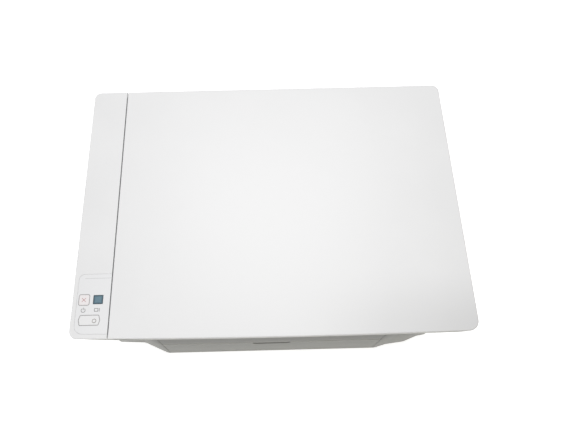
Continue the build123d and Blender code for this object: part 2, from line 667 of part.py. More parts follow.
EXT_X0 = PAPER_CX - PAPER_W / 2 + EXT_SIDE
EXT_X1 = PAPER_CX + PAPER_W / 2 - EXT_SIDE
EXT_Y0 = HINGE_Y + 0.2
EXT_Z0 = TRAY_AXIS_Z + BARREL_R + 1.5
EXT_Z1 = TRAY_TOP_Z - EXT_TOP_GAP
STOP_Y = EXT_Y0 + EXT_T + FIT + STOP_T / 2
STOP_Z = EXT_Z1 - 3.0
LEAF_X0 = OPEN_X0 + PANEL_GAP
LEAF_X1 = OPEN_X1 - PANEL_GAP


def panel_pins(z):
    """The two short pins at a front panel's ends."""
    reach = OPEN_INSET - FIT
    return (bar_x(PANEL_PIN_R, OPEN_X0 - reach, LEAF_X0 + 4, HINGE_Y, z)
            + bar_x(PANEL_PIN_R, LEAF_X1 - 4, OPEN_X1 + reach, HINGE_Y, z))


def output_tray():
    """The tray, which closes the lower front: a plate on a barrel, with two rails for its extension."""
    solid = block(LEAF_X0, LEAF_X1, FRONT_FACE_Y, HINGE_Y, TRAY_AXIS_Z, TRAY_TOP_Z)
    solid += bar_x(BARREL_R, LEAF_X0, LEAF_X1, HINGE_Y, TRAY_AXIS_Z) + panel_pins(TRAY_AXIS_Z)
    rail_y = EXT_Y0 + EXT_T + FIT + RAIL_LIP
    for side, x in ((-1, EXT_X0 - FIT), (1, EXT_X1 + FIT)):
        a, b = sorted((x, x + side * RAIL_W))
        solid += block(a, b, HINGE_Y, rail_y, EXT_Z0, EXT_Z1)
        a, b = sorted((x - side * 3, x + side * RAIL_W))
        solid += block(a, b, rail_y - RAIL_LIP, rail_y, EXT_Z0, EXT_Z1)
    grip = rounded(PAPER_CX - 22, PAPER_CX + 22, -7, 3, -1, 1.2, 3)
    return solid - Pos(0, FRONT_FACE_Y, TRAY_TOP_Z) * Rot(90, 0, 0) * grip


def tray_extension():
    """The sliding plate on the tray's inner side, with lugs for the paper stop."""
    solid = block(EXT_X0, EXT_X1, EXT_Y0, EXT_Y0 + EXT_T, EXT_Z0, EXT_Z1)
    for x in (PAPER_CX - STOP_W / 2 - FIT - STOP_LUG, PAPER_CX + STOP_W / 2 + FIT):
        solid += block(x, x + STOP_LUG, EXT_Y0 + EXT_T, STOP_Y + STOP_T / 2, STOP_Z - 2, STOP_Z + 2)
    hole_r = STOP_PIN_R + PIN_CLEAR
    reach = STOP_W / 2 + FIT + STOP_LUG
    return solid - bar_x(hole_r, PAPER_CX - reach - 1, PAPER_CX + reach + 1, STOP_Y, STOP_Z)


def paper_stop():
    """The small flap that stands up at the end of the tray to hold the sheets."""
    solid = block(PAPER_CX - STOP_W / 2, PAPER_CX + STOP_W / 2, STOP_Y - STOP_T / 2,
                  STOP_Y + STOP_T / 2, STOP_Z - STOP_H, STOP_Z)
    solid += bar_x(STOP_T / 2, PAPER_CX - STOP_W / 2, PAPER_CX + STOP_W / 2, STOP_Y, STOP_Z)
    reach = STOP_W / 2 + FIT + STOP_LUG
    return solid + bar_x(STOP_PIN_R, PAPER_CX - reach, PAPER_CX + reach, STOP_Y, STOP_Z)


def cartridge_door():
    """The flap above the tray, which opens forward for the cartridges."""
    solid = block(LEAF_X0, LEAF_X1, FRONT_FACE_Y, HINGE_Y - 0.2, DOOR_Z0, DOOR_Z1)
    low = solid.edges().filter_by(Axis.X).group_by(Axis.Z)[0].sort_by(Axis.Y)[0]
    solid = fillet(low, 2.0)
    for a, b in ((LEAF_X0, LEAF_X0 + DOOR_BARREL_L), (LEAF_X1 - DOOR_BARREL_L, LEAF_X1)):
        solid += bar_x(BARREL_R - 0.8, a, b, HINGE_Y, DOOR_AXIS_Z)
    solid += panel_pins(DOOR_AXIS_Z)
    grip = rounded(PAPER_CX - 30, PAPER_CX + 30, -3, 5, -1, 1.2, 2.5)
    return solid - Pos(0, FRONT_FACE_Y, DOOR_Z1) * Rot(90, 0, 0) * grip


# ---------------------------------------------------------------- rear paper support

SUP_EXT_X0 = SUPPORT_X0 + SUP_RAIL + FIT
SUP_EXT_X1 = SUPPORT_X1 - SUP_RAIL - FIT
SUP_EXT_Z0 = SUPPORT_AXIS_Z + 18.0
SUP_EXT_Y1 = SUPPORT_Y0 - 0.2
SUP_EXT_Y0 = SUP_EXT_Y1 - SUP_EXT_T
GUIDE_X = SUPPORT_X0 + 17.0
GUIDE_W = 6.0
GUIDE_Y0 = BODY_REAR_Y + 0.6


def paper_support():
    """The rear support: a plate hinged at its foot, with two rails."""
    solid = block(SUPPORT_X0, SUPPORT_X1, SUPPORT_Y0, DEPTH / 2, SUPPORT_AXIS_Z, SUPPORT_TOP)
    solid += bar_x(SUPPORT_T / 2, SUPPORT_X0, SUPPORT_X1, SUPPORT_AXIS_Y, SUPPORT_AXIS_Z)
    for x0, x1 in ((SUPPORT_X0, SUPPORT_X0 + SUP_RAIL), (SUPPORT_X1 - SUP_RAIL, SUPPORT_X1)):
        solid += block(x0, x1, SUP_EXT_Y0, SUPPORT_Y0, SUP_EXT_Z0, SUPPORT_TOP)
    return solid + bar_x(SUP_PIN_R - 0.5, SUPPORT_X0 - SUP_EAR, SUPPORT_X1 + SUP_EAR,
                         SUPPORT_AXIS_Y, SUPPORT_AXIS_Z)


def paper_support_extension():
    """The plate that slides up out of the rear support."""
    solid = block(SUP_EXT_X0, SUP_EXT_X1, SUP_EXT_Y0, SUP_EXT_Y1, SUP_EXT_Z0, SUPPORT_TOP)
    notch = block(PAPER_CX - 20, PAPER_CX + 20, SUP_EXT_Y0 - 1, SUP_EXT_Y1 + 1, SUPPORT_TOP - 6,
                  SUPPORT_TOP + 1)
    return solid - notch


def paper_width_guide():
    """The guide that slides across the support to the sheets' edge."""
    fin_y1 = SUP_EXT_Y0 - FIT
    solid = block(GUIDE_X, GUIDE_X + GUIDE_W, GUIDE_Y0, fin_y1, SUPPORT_AXIS_Z + 6, SUPPORT_AXIS_Z + 42)
    foot_z1 = SUP_EXT_Z0 - FIT
    return solid + block(GUIDE_X - 6, GUIDE_X + 10, fin_y1, SUPPORT_Y0 - 0.2, SUPPORT_AXIS_Z + 6, foot_z1)


# ---------------------------------------------------------------- gear train and rollers

AXLE_Z = FLOOR_Z + GEAR_FLOOR_GAP + MODULE * (IDLER_TEETH / 2 + ADDENDUM)
PAPER_Z = AXLE_Z + FEED_R
IDLER_Y = FEED_Y - MODULE * (FEED_TEETH + IDLER_TEETH) / 2
OUTPUT_Y = IDLER_Y - MODULE * (IDLER_TEETH + OUTPUT_TEETH) / 2
PINION_Y = FEED_Y + MODULE * (FEED_TEETH + PINION_TEETH) / 2
GEAR_X0 = PLATE_LEFT_X - GEAR_GAP - GEAR_T
PLATE_Z1 = HOUSING_Z - PLATE_TOP_GAP
RAMP_Y0 = FEED_Y + FEED_R + 2.0
RAMP_Y1 = BODY_REAR_Y - WALL - 0.2
RAMP_Z0 = PAPER_Z - 1.5
RAMP_Z = PAPER_Z + RAMP_RISE
RAMP_X0 = PAPER_CX - PAPER_W / 2 - RAMP_SIDE
RAMP_X1 = PAPER_CX + PAPER_W / 2 + RAMP_SIDE
PICK_Z = RAMP_Z0 + (RAMP_Z - RAMP_Z0) * (PICK_Y - RAMP_Y0) / (RAMP_Y1 - RAMP_Y0) + PICK_R + 1.0
PINCH_Z = AXLE_Z + FEED_R + NIP + PINCH_R
STAR_Z = AXLE_Z + OUTPUT_R + NIP + STAR_R
BEAM_Y = BELT_Y + MOTOR_R + 1.0
BEAM_T = 1.5
BEAM_Z0 = AXLE_Z + MOTOR_R + 4.6
SHAFT_END = PLATE_RIGHT_X + 1.0
IDLER_PIN_R = 2.0
CAR_Z0 = PAPER_Z + CAR_LIFT
CAR_Z1 = HOUSING_Z - CAR_TOP_GAP
STATION_X0 = PLATEN_X1 + STATION_GAP
CAR_X0 = STATION_X0 - STATION_SIDE
CAR_X1 = PLATE_RIGHT_X - PLATE_T - CAR_SIDE_GAP
STATION_X1 = CAR_X1 - STATION_SIDE
CAR_W = CAR_X1 - CAR_X0
CAR_X = (CAR_X0 + CAR_X1) / 2
ROD_Z = CAR_Z0 + ROD_RISE
BELT_Z = CAR_Z0 + BELT_RISE


def gear(teeth, y, x0, bore_r, phase):
    """A spur gear about an axis along X: straight-flanked teeth, thinned for backlash."""
    pitch_r = MODULE * teeth / 2
    step = 2 * math.pi / teeth
    flank = [(pitch_r - 1.2 * MODULE, 0.98), (pitch_r, 0.5), (pitch_r + ADDENDUM * MODULE, 0.24)]
    points = []
    for i in range(teeth):
        mid = (i + phase) * step
        for side, order in ((-1, flank), (1, flank[::-1])):
            for radius, share in order:
                half = share * step / 2 - TOOTH_PLAY / 2 / pitch_r
                angle = mid + side * half
                points.append((radius * math.cos(angle), radius * math.sin(angle)))
    blank = extrude(make_face(Polyline(*points, close=True)), GEAR_T)
    blank -= Cylinder(bore_r, 4 * GEAR_T)
    return across(x0, y, AXLE_Z) * blank


def feed_gear():
    """The gear on the feed roller's end and, beside it, the slotted disc that measures its turn."""
    return group(gear(FEED_TEETH, FEED_Y, GEAR_X0, SHAFT_R + 0.01, 0), encoder_disc())


def idler_gear():
    """The gear that joins the feed gear to the output gear."""
    return gear(IDLER_TEETH, IDLER_Y, GEAR_X0, IDLER_PIN_R + PIN_CLEAR, 0.5)


def motor_pinion():
    """The feed motor's pinion."""
    return gear(PINION_TEETH, PINION_Y, GEAR_X0, 1.5 + PIN_CLEAR, 0.5)


def feed_motor():
    """The feed motor inside the left frame plate, its shaft out through the plate."""
    x0 = PLATE_LEFT_X + PLATE_T
    solid = bar_x(MOTOR_R, x0, x0 + MOTOR_L, PINION_Y, AXLE_Z)
    solid += bar_x(5, x0 + MOTOR_L, x0 + MOTOR_L + 3, PINION_Y, AXLE_Z)
    return solid + bar_x(1.5, GEAR_X0 - 1, x0, PINION_Y, AXLE_Z)


def encoder_disc():
    """The slotted disc that measures the feed roller's turn."""
    x = GEAR_X0 - 4.0
    solid = bar_x(17, x, x + 0.8, FEED_Y, AXLE_Z) + bar_x(6, x - 1.5, x + 1.6, FEED_Y, AXLE_Z)
    solid -= bar_x(SHAFT_R + 0.01, x - 3, x + 3, FEED_Y, AXLE_Z)
    for i in range(12):
        slot = Rot(30 * i, 0, 0) * block(x - 1, x + 2, -0.6, 0.6, 12.5, 15.5)
        solid -= Pos(0, FEED_Y, AXLE_Z) * slot
    return solid


def feed_roller():
    """The roller that moves the sheet under the heads."""
    solid = bar_x(SHAFT_R, GEAR_X0 - 6, SHAFT_END, FEED_Y, AXLE_Z)
    return solid + bar_x(FEED_R, PLATEN_X0 + 1, PLATEN_X1 - 1, FEED_Y, AXLE_Z)


def roller_rows(count, length):
    """The left ends of rollers spread evenly over the paper's width."""
    pitch = PAPER_W / count
    return [PAPER_CX - PAPER_W / 2 + (i + 0.5) * pitch - length / 2 for i in range(count)]


def output_roller():
    """The shaft with rubber tyres that pushes the sheet out."""
    solid = bar_x(SHAFT_R, GEAR_X0 - 1, SHAFT_END, OUTPUT_Y, AXLE_Z)
    for x in roller_rows(STAR_COUNT, 12):
        solid += bar_x(OUTPUT_R, x, x + 12, OUTPUT_Y, AXLE_Z)
    return solid + gear(OUTPUT_TEETH, OUTPUT_Y, GEAR_X0, SHAFT_R - 0.5, 0)


def pinch_rollers():
    """The loose rollers that press the sheet on the feed roller."""
    return group(*[bar_x(PINCH_R, x, x + PINCH_L, FEED_Y, PINCH_Z)
                   - bar_x(1.2 + PIN_CLEAR, x - 1, x + PINCH_L + 1, FEED_Y, PINCH_Z)
                   for x in roller_rows(PINCH_COUNT, PINCH_L)])


def pinch_frame():
    """The pin through the pinch rollers and its arms from the cross beam."""
    rows = roller_rows(PINCH_COUNT, PINCH_L)
    solid = bar_x(1.2, rows[0] - 5, rows[-1] + PINCH_L + 5, FEED_Y, PINCH_Z)
    gap = PAPER_W / PINCH_COUNT - PINCH_L
    for x in [rows[0] - gap / 2] + [x + PINCH_L + gap / 2 for x in rows]:
        if x > rows[-1] + PINCH_L:
            x = rows[-1] + PINCH_L + 4
        x = max(x, rows[0] - 4)
        solid += block(x - 1.5, x + 1.5, FEED_Y - 2.2, BEAM_Y, PINCH_Z - 1.2, PINCH_Z + 2.6)
    back = block(rows[0] - 5.5, rows[-1] + PINCH_L + 5.5, BEAM_Y - 3, BEAM_Y, PINCH_Z - 1.2, BEAM_Z0 + 4)
    return solid + back


def star_shaft(x0, x1):
    """The thin rod on which the star wheels turn."""
    return bar_x(1.0, x0, x1, OUTPUT_Y, STAR_Z)


def star_wheels():
    """Thin toothed wheels that hold the wet sheet on the output roller."""
    wheels = []
    for x in roller_rows(STAR_COUNT, STAR_T):
        points = []
        for i in range(24):
            radius = STAR_R if i % 2 else STAR_R - 0.8
            points.append((radius * math.cos(i * math.pi / 12), radius * math.sin(i * math.pi / 12)))
        wheel = extrude(make_face(Polyline(*points, close=True)), STAR_T) - Cylinder(1 + PIN_CLEAR, 9)
        wheels.append(across(x, OUTPUT_Y, STAR_Z) * wheel)
    return group(*wheels)


def star_wheel_bar():
    """The bar across the frame that carries the star wheels' rod."""
    rows = roller_rows(STAR_COUNT, STAR_T)
    solid = block(PLATE_LEFT_X + PLATE_T, PLATE_RIGHT_X - PLATE_T, OUTPUT_Y - 9, OUTPUT_Y - 5.5,
                  STAR_Z - 1, STAR_Z + 4)
    solid += star_shaft(rows[0] - 5, rows[-1] + STAR_T + 5)
    for x in rows:
        for a in (x - 3.5, x + STAR_T + 2.0):
            solid += block(a, a + 1.5, OUTPUT_Y - 6, OUTPUT_Y + 1.5, STAR_Z - 1.6, STAR_Z + 2.4)
    return solid


def pick_roller():
    """The roller that takes one sheet off the stack, on its shaft."""
    solid = bar_x(SHAFT_R, PLATE_LEFT_X - 3, SHAFT_END, PICK_Y, PICK_Z)
    solid += bar_x(PICK_R, PAPER_CX - PICK_W / 2, PAPER_CX + PICK_W / 2, PICK_Y, PICK_Z)
    return solid - block(PAPER_CX - PICK_W, PAPER_CX + PICK_W, PICK_Y - PICK_R, PICK_Y + PICK_R,
                         PICK_Z + PICK_R - 3, PICK_Z + PICK_R + 1)


def paper_ramp():
    """The sloping plate from the rear window to the feed roller, on three ribs."""
    points = [(RAMP_Y0, RAMP_Z0), (RAMP_Y1, RAMP_Z), (RAMP_Y1, RAMP_Z - RAMP_T), (RAMP_Y0, RAMP_Z0 - RAMP_T)]
    plate = make_face(Polyline(*points, close=True))
    solid = across(RAMP_X0, 0, 0) * extrude(plate, RAMP_X1 - RAMP_X0)
    foot = [(RAMP_Y0 + 8, FLOOR_Z), (RAMP_Y1, FLOOR_Z), (RAMP_Y1, RAMP_Z - 1), (RAMP_Y0 + 8, RAMP_Z0 - 1)]
    rib = extrude(make_face(Polyline(*foot, close=True)), RAMP_T)
    for x in (RAMP_X0, PAPER_CX - RAMP_T / 2, RAMP_X1 - RAMP_T):
        solid += across(x, 0, 0) * rib
    return solid


# ---------------------------------------------------------------- frame, platen, station

def frame_plate(x0, inward):
    """A sheet-metal side plate with its foot tabs and shaft holes."""
    solid = block(x0, x0 + PLATE_T, PLATE_Y0, PLATE_Y1, FLOOR_Z, PLATE_Z1)
    edge = x0 + PLATE_T if inward > 0 else x0
    for y in (PLATE_Y0 + FLANGE_INSET, PLATE_Y1 - FLANGE_INSET):
        a, b = sorted((edge, edge + inward * FOOT_FLANGE))
        tab = block(a, b, y - 7, y + 7, FLOOR_Z, FLOOR_Z + PLATE_T)
        solid += tab - bar_z(SCREW_R + 0.1, edge + inward * FOOT_FLANGE / 2, y, 0, MID_Z)
    for y, z, r in ((FEED_Y, AXLE_Z, SHAFT_R), (OUTPUT_Y, AXLE_Z, SHAFT_R), (PICK_Y, PICK_Z, SHAFT_R),
                    (ROD_Y, ROD_Z, ROD_R)):
        solid -= bar_x(r + PIN_CLEAR, x0 - 1, x0 + PLATE_T + 1, y, z)
    return solid


def frame_plates():
    """The two plates; the left one carries the idler gear's pin and clears the motor's shaft."""
    left = frame_plate(PLATE_LEFT_X, 1)
    left -= bar_x(1.5 + PIN_CLEAR, PLATE_LEFT_X - 1, PLATE_LEFT_X + PLATE_T + 1, PINION_Y, AXLE_Z)
    left += bar_x(IDLER_PIN_R, GEAR_X0 - 1.5, PLATE_LEFT_X, IDLER_Y, AXLE_Z)
    return group(left, frame_plate(PLATE_RIGHT_X - PLATE_T, -1))


DRIVE_X = CAR_X1 - 16.0
TENSION_X = PLATE_LEFT_X + PLATE_T + 9.0
BRACKET_T = 1.2
BRACKET_Z = BELT_Z - 1.0


def cross_beam():
    """The beam between the plates, with the brackets of the belt's motor and idler."""
    solid = block(PLATE_LEFT_X + PLATE_T, PLATE_RIGHT_X - PLATE_T, BEAM_Y, BEAM_Y + BEAM_T, BEAM_Z0, PLATE_Z1)
    for x in (DRIVE_X, TENSION_X):
        solid += block(x - 8, x + 8, BELT_Y - 10, BEAM_Y, BRACKET_Z - BRACKET_T, BRACKET_Z)
    solid -= bar_z(1.5 + PIN_CLEAR, DRIVE_X, BELT_Y, 0, HEIGHT)
    return solid + bar_z(1.5, TENSION_X, BELT_Y, BRACKET_Z, BELT_Z + BELT_W + 1.2)


def carriage_rod():
    """The polished rod that the print carriage rides on."""
    return bar_x(ROD_R, PLATE_LEFT_X - 1.5, PLATE_RIGHT_X + 1.5, ROD_Y, ROD_Z)


def carriage_motor():
    """The carriage motor under its bracket, its shaft upright."""
    top = BRACKET_Z - BRACKET_T
    solid = bar_z(MOTOR_R, DRIVE_X, BELT_Y, top - MOTOR_L, top)
    return solid + bar_z(1.5, DRIVE_X, BELT_Y, top, BELT_Z + BELT_W + 1.2)


def carriage_drive_pulley():
    """The carriage motor's pulley."""
    return pulley(DRIVE_X, BELT_Y, BELT_Z, PULLEY_R, 1.5)


def carriage_idler_pulley():
    """The pulley at the far end of the carriage belt."""
    return pulley(TENSION_X, BELT_Y, BELT_Z, PULLEY_R, 1.5)


def platen():
    """The ribbed bed under the sheet, on two end walls."""
    y0, y1 = OUTPUT_Y + OUTPUT_R + 4, FEED_Y - FEED_R - 3
    solid = block(PLATEN_X0, PLATEN_X1, y0, y1, PAPER_Z - 9, PAPER_Z - 4)
    for x in (PLATEN_X0, PLATEN_X1 - WALL):
        solid += block(x, x + WALL, y0, y1, FLOOR_Z, PAPER_Z - 4)
    ribs = 18
    for i in range(ribs):
        x = PAPER_CX - PAPER_W / 2 + 4 + i * (PAPER_W - 8) / (ribs - 1)
        solid += block(x - 0.7, x + 0.7, y0 + 2, y1 - 2, PAPER_Z - 4, PAPER_Z - 0.2)
    return solid


def waste_ink_pad():
    """The felt pad under the platen."""
    return block(PLATEN_X0 + WALL + 2, PLATEN_X1 - WALL - 2, OUTPUT_Y + OUTPUT_R + 6, FEED_Y - FEED_R - 5,
                 FLOOR_Z, FLOOR_Z + 14)


SHELF_Y0 = STOP_Y + STOP_T / 2 + 3.0
SHELF_Y1 = OUTPUT_Y - OUTPUT_R - 5.0
SHELF_Z = PAPER_Z - 2.0
SHELF_WALL_H = 20.0


def output_chute():
    """The shelf and side walls that lead the printed sheet to the tray."""
    x0, x1 = PLATEN_X0 - WALL, PLATEN_X1 + WALL
    solid = block(x0, x1, SHELF_Y0, SHELF_Y1, SHELF_Z - WALL, SHELF_Z)
    for x in (x0, x1 - WALL):
        solid += block(x, x + WALL, SHELF_Y0, SHELF_Y1, FLOOR_Z, SHELF_Z + SHELF_WALL_H)
    return solid + block(x0, x1, SHELF_Y1 - WALL, SHELF_Y1, FLOOR_Z, SHELF_Z - 1)


STATION_Y0 = OUTPUT_Y + OUTPUT_R + 2.0
STATION_Y1 = FEED_Y - FEED_R - 3.0
SLED_Y0 = STATION_Y0 + 2.0 + SLED_TRAVEL + 2.0
SLED_Z0 = FLOOR_Z + STATION_H - SLED_H + 4.0
BAY_W = (CAR_W - 3 * CAR_WALL) / 2
BAY_X = [CAR_X - (BAY_W + CAR_WALL) / 2, CAR_X + (BAY_W + CAR_WALL) / 2]
HEAD_Z = PAPER_Z + HEAD_GAP
HEAD_Y0 = CAR_Y0 + 14.0
HEAD_L = 14.0
HEAD_W = 14.0


def service_station():
    """The tray at the carriage's parking place, with ledges for its sled."""
    solid = block(STATION_X0, STATION_X1, STATION_Y0, STATION_Y1, FLOOR_Z, FLOOR_Z + STATION_H)
    solid -= block(STATION_X0 + 2, STATION_X1 - 2, STATION_Y0 + 2, STATION_Y1 - 2, FLOOR_Z + 2,
                   FLOOR_Z + STATION_H + 1)
    for x0, x1 in ((STATION_X0 + 2, STATION_X0 + 8), (STATION_X1 - 8, STATION_X1 - 2)):
        solid += block(x0, x1, STATION_Y0 + 2, STATION_Y1 - 2, FLOOR_Z + 2, SLED_Z0 - 0.2)
    return solid


def service_sled():
    """The sled, with a cap and a wiper blade for each print head."""
    top = HEAD_Z - 0.5
    solid = block(STATION_X0 + 2.4, STATION_X1 - 2.4, SLED_Y0, STATION_Y1 - 2.4, SLED_Z0, SLED_Z0 + SLED_H)
    for x in BAY_X:
        cap = rounded(x - HEAD_W / 2, x + HEAD_W / 2, HEAD_Y0 - 1, HEAD_Y0 + HEAD_L + 1,
                      SLED_Z0 + SLED_H, top, 2)
        cap -= rounded(x - HEAD_W / 2 + 2, x + HEAD_W / 2 - 2, HEAD_Y0 + 1, HEAD_Y0 + HEAD_L - 1,
                       top - 3, top + 1, 1)
        wiper_y = HEAD_Y0 + HEAD_L + 12
        wiper = block(x - HEAD_W / 2, x + HEAD_W / 2, wiper_y, wiper_y + 1.2, SLED_Z0 + SLED_H, top)
        solid += cap + wiper
    return solid


# ---------------------------------------------------------------- print carriage

CART_W = BAY_W - 2 * CART_PLAY
CART_Z0 = CAR_Z0 + CAR_WALL + FIT
CART_Y0 = CAR_Y0 + 0.6
LATCH_Y = CART_Y0 + LATCH_L
LATCH_Z = CAR_Z1 - 2.6
CART_H = LATCH_Z - LATCH_T / 2 - CART_TOP_GAP - CART_Z0
LATCH_PIN_R = 1.0
RUN_Y = BELT_Y - PULLEY_R - BELT_T / 2


def print_carriage():
    """The carriage: two open bays, the rod's bearing behind them and the arm that grips the belt."""
    bay_y1 = CART_Y0 + CART_D + 0.6
    solid = block(CAR_X0, CAR_X1, CAR_Y0, CAR_Y1, CAR_Z0, CAR_Z1)
    solid = fillet(solid.edges().filter_by(Axis.X).group_by(Axis.Z)[-1].sort_by(Axis.Y)[0], 5.0)
    for x in BAY_X:
        solid -= block(x - BAY_W / 2, x + BAY_W / 2, CAR_Y0 - 1, bay_y1, CAR_Z0 + CAR_WALL, CAR_Z1 + 1)
        solid -= block(x - HEAD_W / 2 - 0.5, x + HEAD_W / 2 + 0.5, CAR_Y0 - 1, HEAD_Y0 + HEAD_L + 0.5,
                       CAR_Z0 - 1, CAR_Z0 + CAR_WALL + 1)
    solid -= block(CAR_X0 + CAR_WALL, CAR_X1 - CAR_WALL, bay_y1 + CAR_WALL, CAR_Y1 - CAR_WALL,
                   ROD_Z + ROD_R + 4, CAR_Z1 + 1)
    solid -= bar_x(ROD_R + PIN_CLEAR, CAR_X0 - 1, CAR_X1 + 1, ROD_Y, ROD_Z)
    arm_x = DRIVE_X - ARM_GAP
    arm = block(arm_x - ARM_W, arm_x, CAR_Y1 - 1, RUN_Y + 3.5, BELT_Z - 0.6, BELT_Z + BELT_W + 2)
    arm -= block(arm_x - ARM_W - 1, arm_x + 1, RUN_Y - BELT_T / 2 - FIT, RUN_Y + BELT_T / 2 + FIT,
                 BELT_Z - 1, BELT_Z + BELT_W + FIT)
    solid += arm
    return solid - bar_x(LATCH_PIN_R + PIN_CLEAR, CAR_X0 - 1, CAR_X1 + 1, LATCH_Y, LATCH_Z)


def ink_cartridge(x):
    """One cartridge with its head below, grip above."""
    solid = rounded(x - CART_W / 2, x + CART_W / 2, CART_Y0, CART_Y0 + CART_D, CART_Z0, CART_Z0 + CART_H, 1.5)
    solid += block(x - HEAD_W / 2, x + HEAD_W / 2, HEAD_Y0, HEAD_Y0 + HEAD_L, HEAD_Z, CART_Z0)
    return solid - block(x - 9, x + 9, CART_Y0 - 1, CART_Y0 + 0.8, CART_Z0 + 8, CART_Z0 + CART_H - 8)


def cartridge_latch(x, pin_left, pin_right):
    """The flap that locks one cartridge, with two short pins."""
    half = BAY_W / 2 - 0.5
    solid = block(x - half, x + half, LATCH_Y - LATCH_L, LATCH_Y,
                  LATCH_Z - LATCH_T / 2, LATCH_Z + LATCH_T / 2)
    solid += bar_x(LATCH_T / 2, x - half, x + half, LATCH_Y, LATCH_Z)
    return solid + bar_x(LATCH_PIN_R, x - BAY_W / 2 - pin_left, x + BAY_W / 2 + pin_right, LATCH_Y, LATCH_Z)


def black_cartridge():
    """The right-hand cartridge."""
    return ink_cartridge(BAY_X[1])


def colour_cartridge():
    """The left-hand cartridge."""
    return ink_cartridge(BAY_X[0])


def black_cartridge_latch():
    """The right-hand latch."""
    return cartridge_latch(BAY_X[1], CAR_WALL / 2 - 0.1, CAR_WALL - 0.4)


def colour_cartridge_latch():
    """The left-hand latch."""
    return cartridge_latch(BAY_X[0], CAR_WALL - 0.4, CAR_WALL / 2 - 0.1)


# ---------------------------------------------------------------- electronics

INLET_D = 19.0
USB_D = 17.0
MAIN_BOARD_L = 58.0
CHIP_W = 20.0


def power_supply():
    """The power supply's closed box on four legs."""
    x0, x1 = PLATE_LEFT_X + PLATE_T + 1.5, PLATEN_X0 - 4
    y0, y1 = PLATE_Y1 - PLATE_OVERLAP, BODY_REAR_Y - INLET_D
    z0 = FLOOR_Z + PLATE_T + SCREW_HEAD_H + 1
    solid = block(x0, x1, y0, y1, z0, MID_Z - 17)
    for y in (y0, y1 - 4):
        solid += block(x1 - 18, x1 - 14, y, y + 4, FLOOR_Z, z0) + block(x1 - 4, x1, y, y + 4, FLOOR_Z, z0)
    return solid


def power_inlet():
    """The mains socket: two pins in a deep recess."""
    y1 = BODY_REAR_Y
    solid = block(INLET_X - INLET_W / 2, INLET_X + INLET_W / 2, y1 - INLET_D, y1,
                  INLET_Z - INLET_H / 2, INLET_Z + INLET_H / 2)
    recess = Pos(INLET_X, y1 + 1, INLET_Z) * Rot(90, 0, 0) * extrude(SlotOverall(18, 10), 16)
    solid -= recess
    for side in (-1, 1):
        solid += bar_y(1.2, INLET_X + side * 4.3, y1 - INLET_D + 3, y1 - 8, INLET_Z)
    return solid


def usb_port():
    """The square data socket, standing on the main board."""
    y1 = BODY_REAR_Y
    solid = block(USB_X - USB_W / 2, USB_X + USB_W / 2, y1 - USB_D, y1, USB_Z - USB_H / 2, USB_Z + USB_H / 2)
    solid -= block(USB_X - USB_W / 2 + 2, USB_X + USB_W / 2 - 2, y1 - USB_D + 4, y1 + 1,
                   USB_Z - USB_H / 2 + 2, USB_Z + USB_H / 2 - 2)
    return solid + block(USB_X - 2.8, USB_X + 2.8, y1 - USB_D + 4, y1 - 8, USB_Z - 1.6, USB_Z + 1.6)


def main_board():
    """The main board on four standoffs, with its chips, connectors and the data socket."""
    x0, x1 = PLATEN_X1 + 4, PLATE_RIGHT_X - PLATE_T - FOOT_FLANGE - 2
    y0, y1 = BODY_REAR_Y - MAIN_BOARD_L, BODY_REAR_Y - WALL - 1
    top = MAIN_BOARD_Z + BOARD_T
    solid = block(x0, x1, y0, y1, MAIN_BOARD_Z, top)
    for x in (x0 + 4, x1 - 4):
        for y in (y0 + 4, y1 - 4):
            solid += bar_z(2.5, x, y, FLOOR_Z, MAIN_BOARD_Z)
    chip_x, chip_y = x0 + MAIN_BOARD_L * 0.4, y0 + MAIN_BOARD_L * 0.4
    solid += block(chip_x - CHIP_W / 2, chip_x + CHIP_W / 2, chip_y - CHIP_W / 2, chip_y + CHIP_W / 2,
                   top, top + BOARD_T)
    for i in range(3):
        y = y0 + MAIN_BOARD_L * (0.22 + 0.24 * i)
        solid += block(x0 + 2, x0 + 8, y - CHIP_W / 4, y + CHIP_W / 4, top, top + 6)
        solid += bar_z(3, x1 - 8, y0 + MAIN_BOARD_L * (0.14 + 0.16 * i), top, top + 9)
    return solid + usb_port()


CABLE_T = 0.5


def flat_cables():
    """The fixed lengths of flat cable: on the cross beam, on the housing's floor and along the strip."""
    x = (START[0] + START[1]) / 2
    return group(
        block(TENSION_X + 20, DRIVE_X - 54, BEAM_Y - CABLE_T, BEAM_Y, PLATE_Z1 - 12, PLATE_Z1 - 2),
        block(GLASS_X0 + 20, SCAN_CX + 60, SCAN_CY + 24, SCAN_CY + 36, SCAN_FLOOR, SCAN_FLOOR + CABLE_T),
        block(x - 6, x + 6, CANCEL[3] + 3, HINGE_Y_LID - 20, DECK_Z, DECK_Z + CABLE_T),
    )


NODES = [
    base_case, mid_case, scanner_housing, rubber_feet, frame_screws,
    lid_cover, lid_liner, lid_pad, platen_glass,
    scan_bar, drive_belts, scan_drive_pulley, scan_idler_pulley, scan_motor, scan_rod,
    control_strip, control_panel, cancel_button, start_button, lcd_window, control_board,
    output_tray, tray_extension, paper_stop, cartridge_door,
    paper_support, paper_support_extension, paper_width_guide,
    frame_plates, cross_beam, carriage_rod, carriage_motor, carriage_drive_pulley, carriage_idler_pulley,
    print_carriage, black_cartridge, colour_cartridge, black_cartridge_latch, colour_cartridge_latch,
    feed_roller, feed_gear, idler_gear, output_roller, motor_pinion, feed_motor,
    pinch_rollers, pinch_frame, star_wheels, star_wheel_bar, pick_roller, paper_ramp,
    platen, waste_ink_pad, output_chute, service_station, service_sled,
    power_supply, power_inlet, main_board, flat_cables,
]


def main():
    """Builds every piece and writes it to parts/."""
    os.makedirs("parts", exist_ok=True)
    for make in NODES:
        shape = make()
        export_step(shape, f"parts/{make.__name__}.step")


if __name__ == "__main__":
    main()
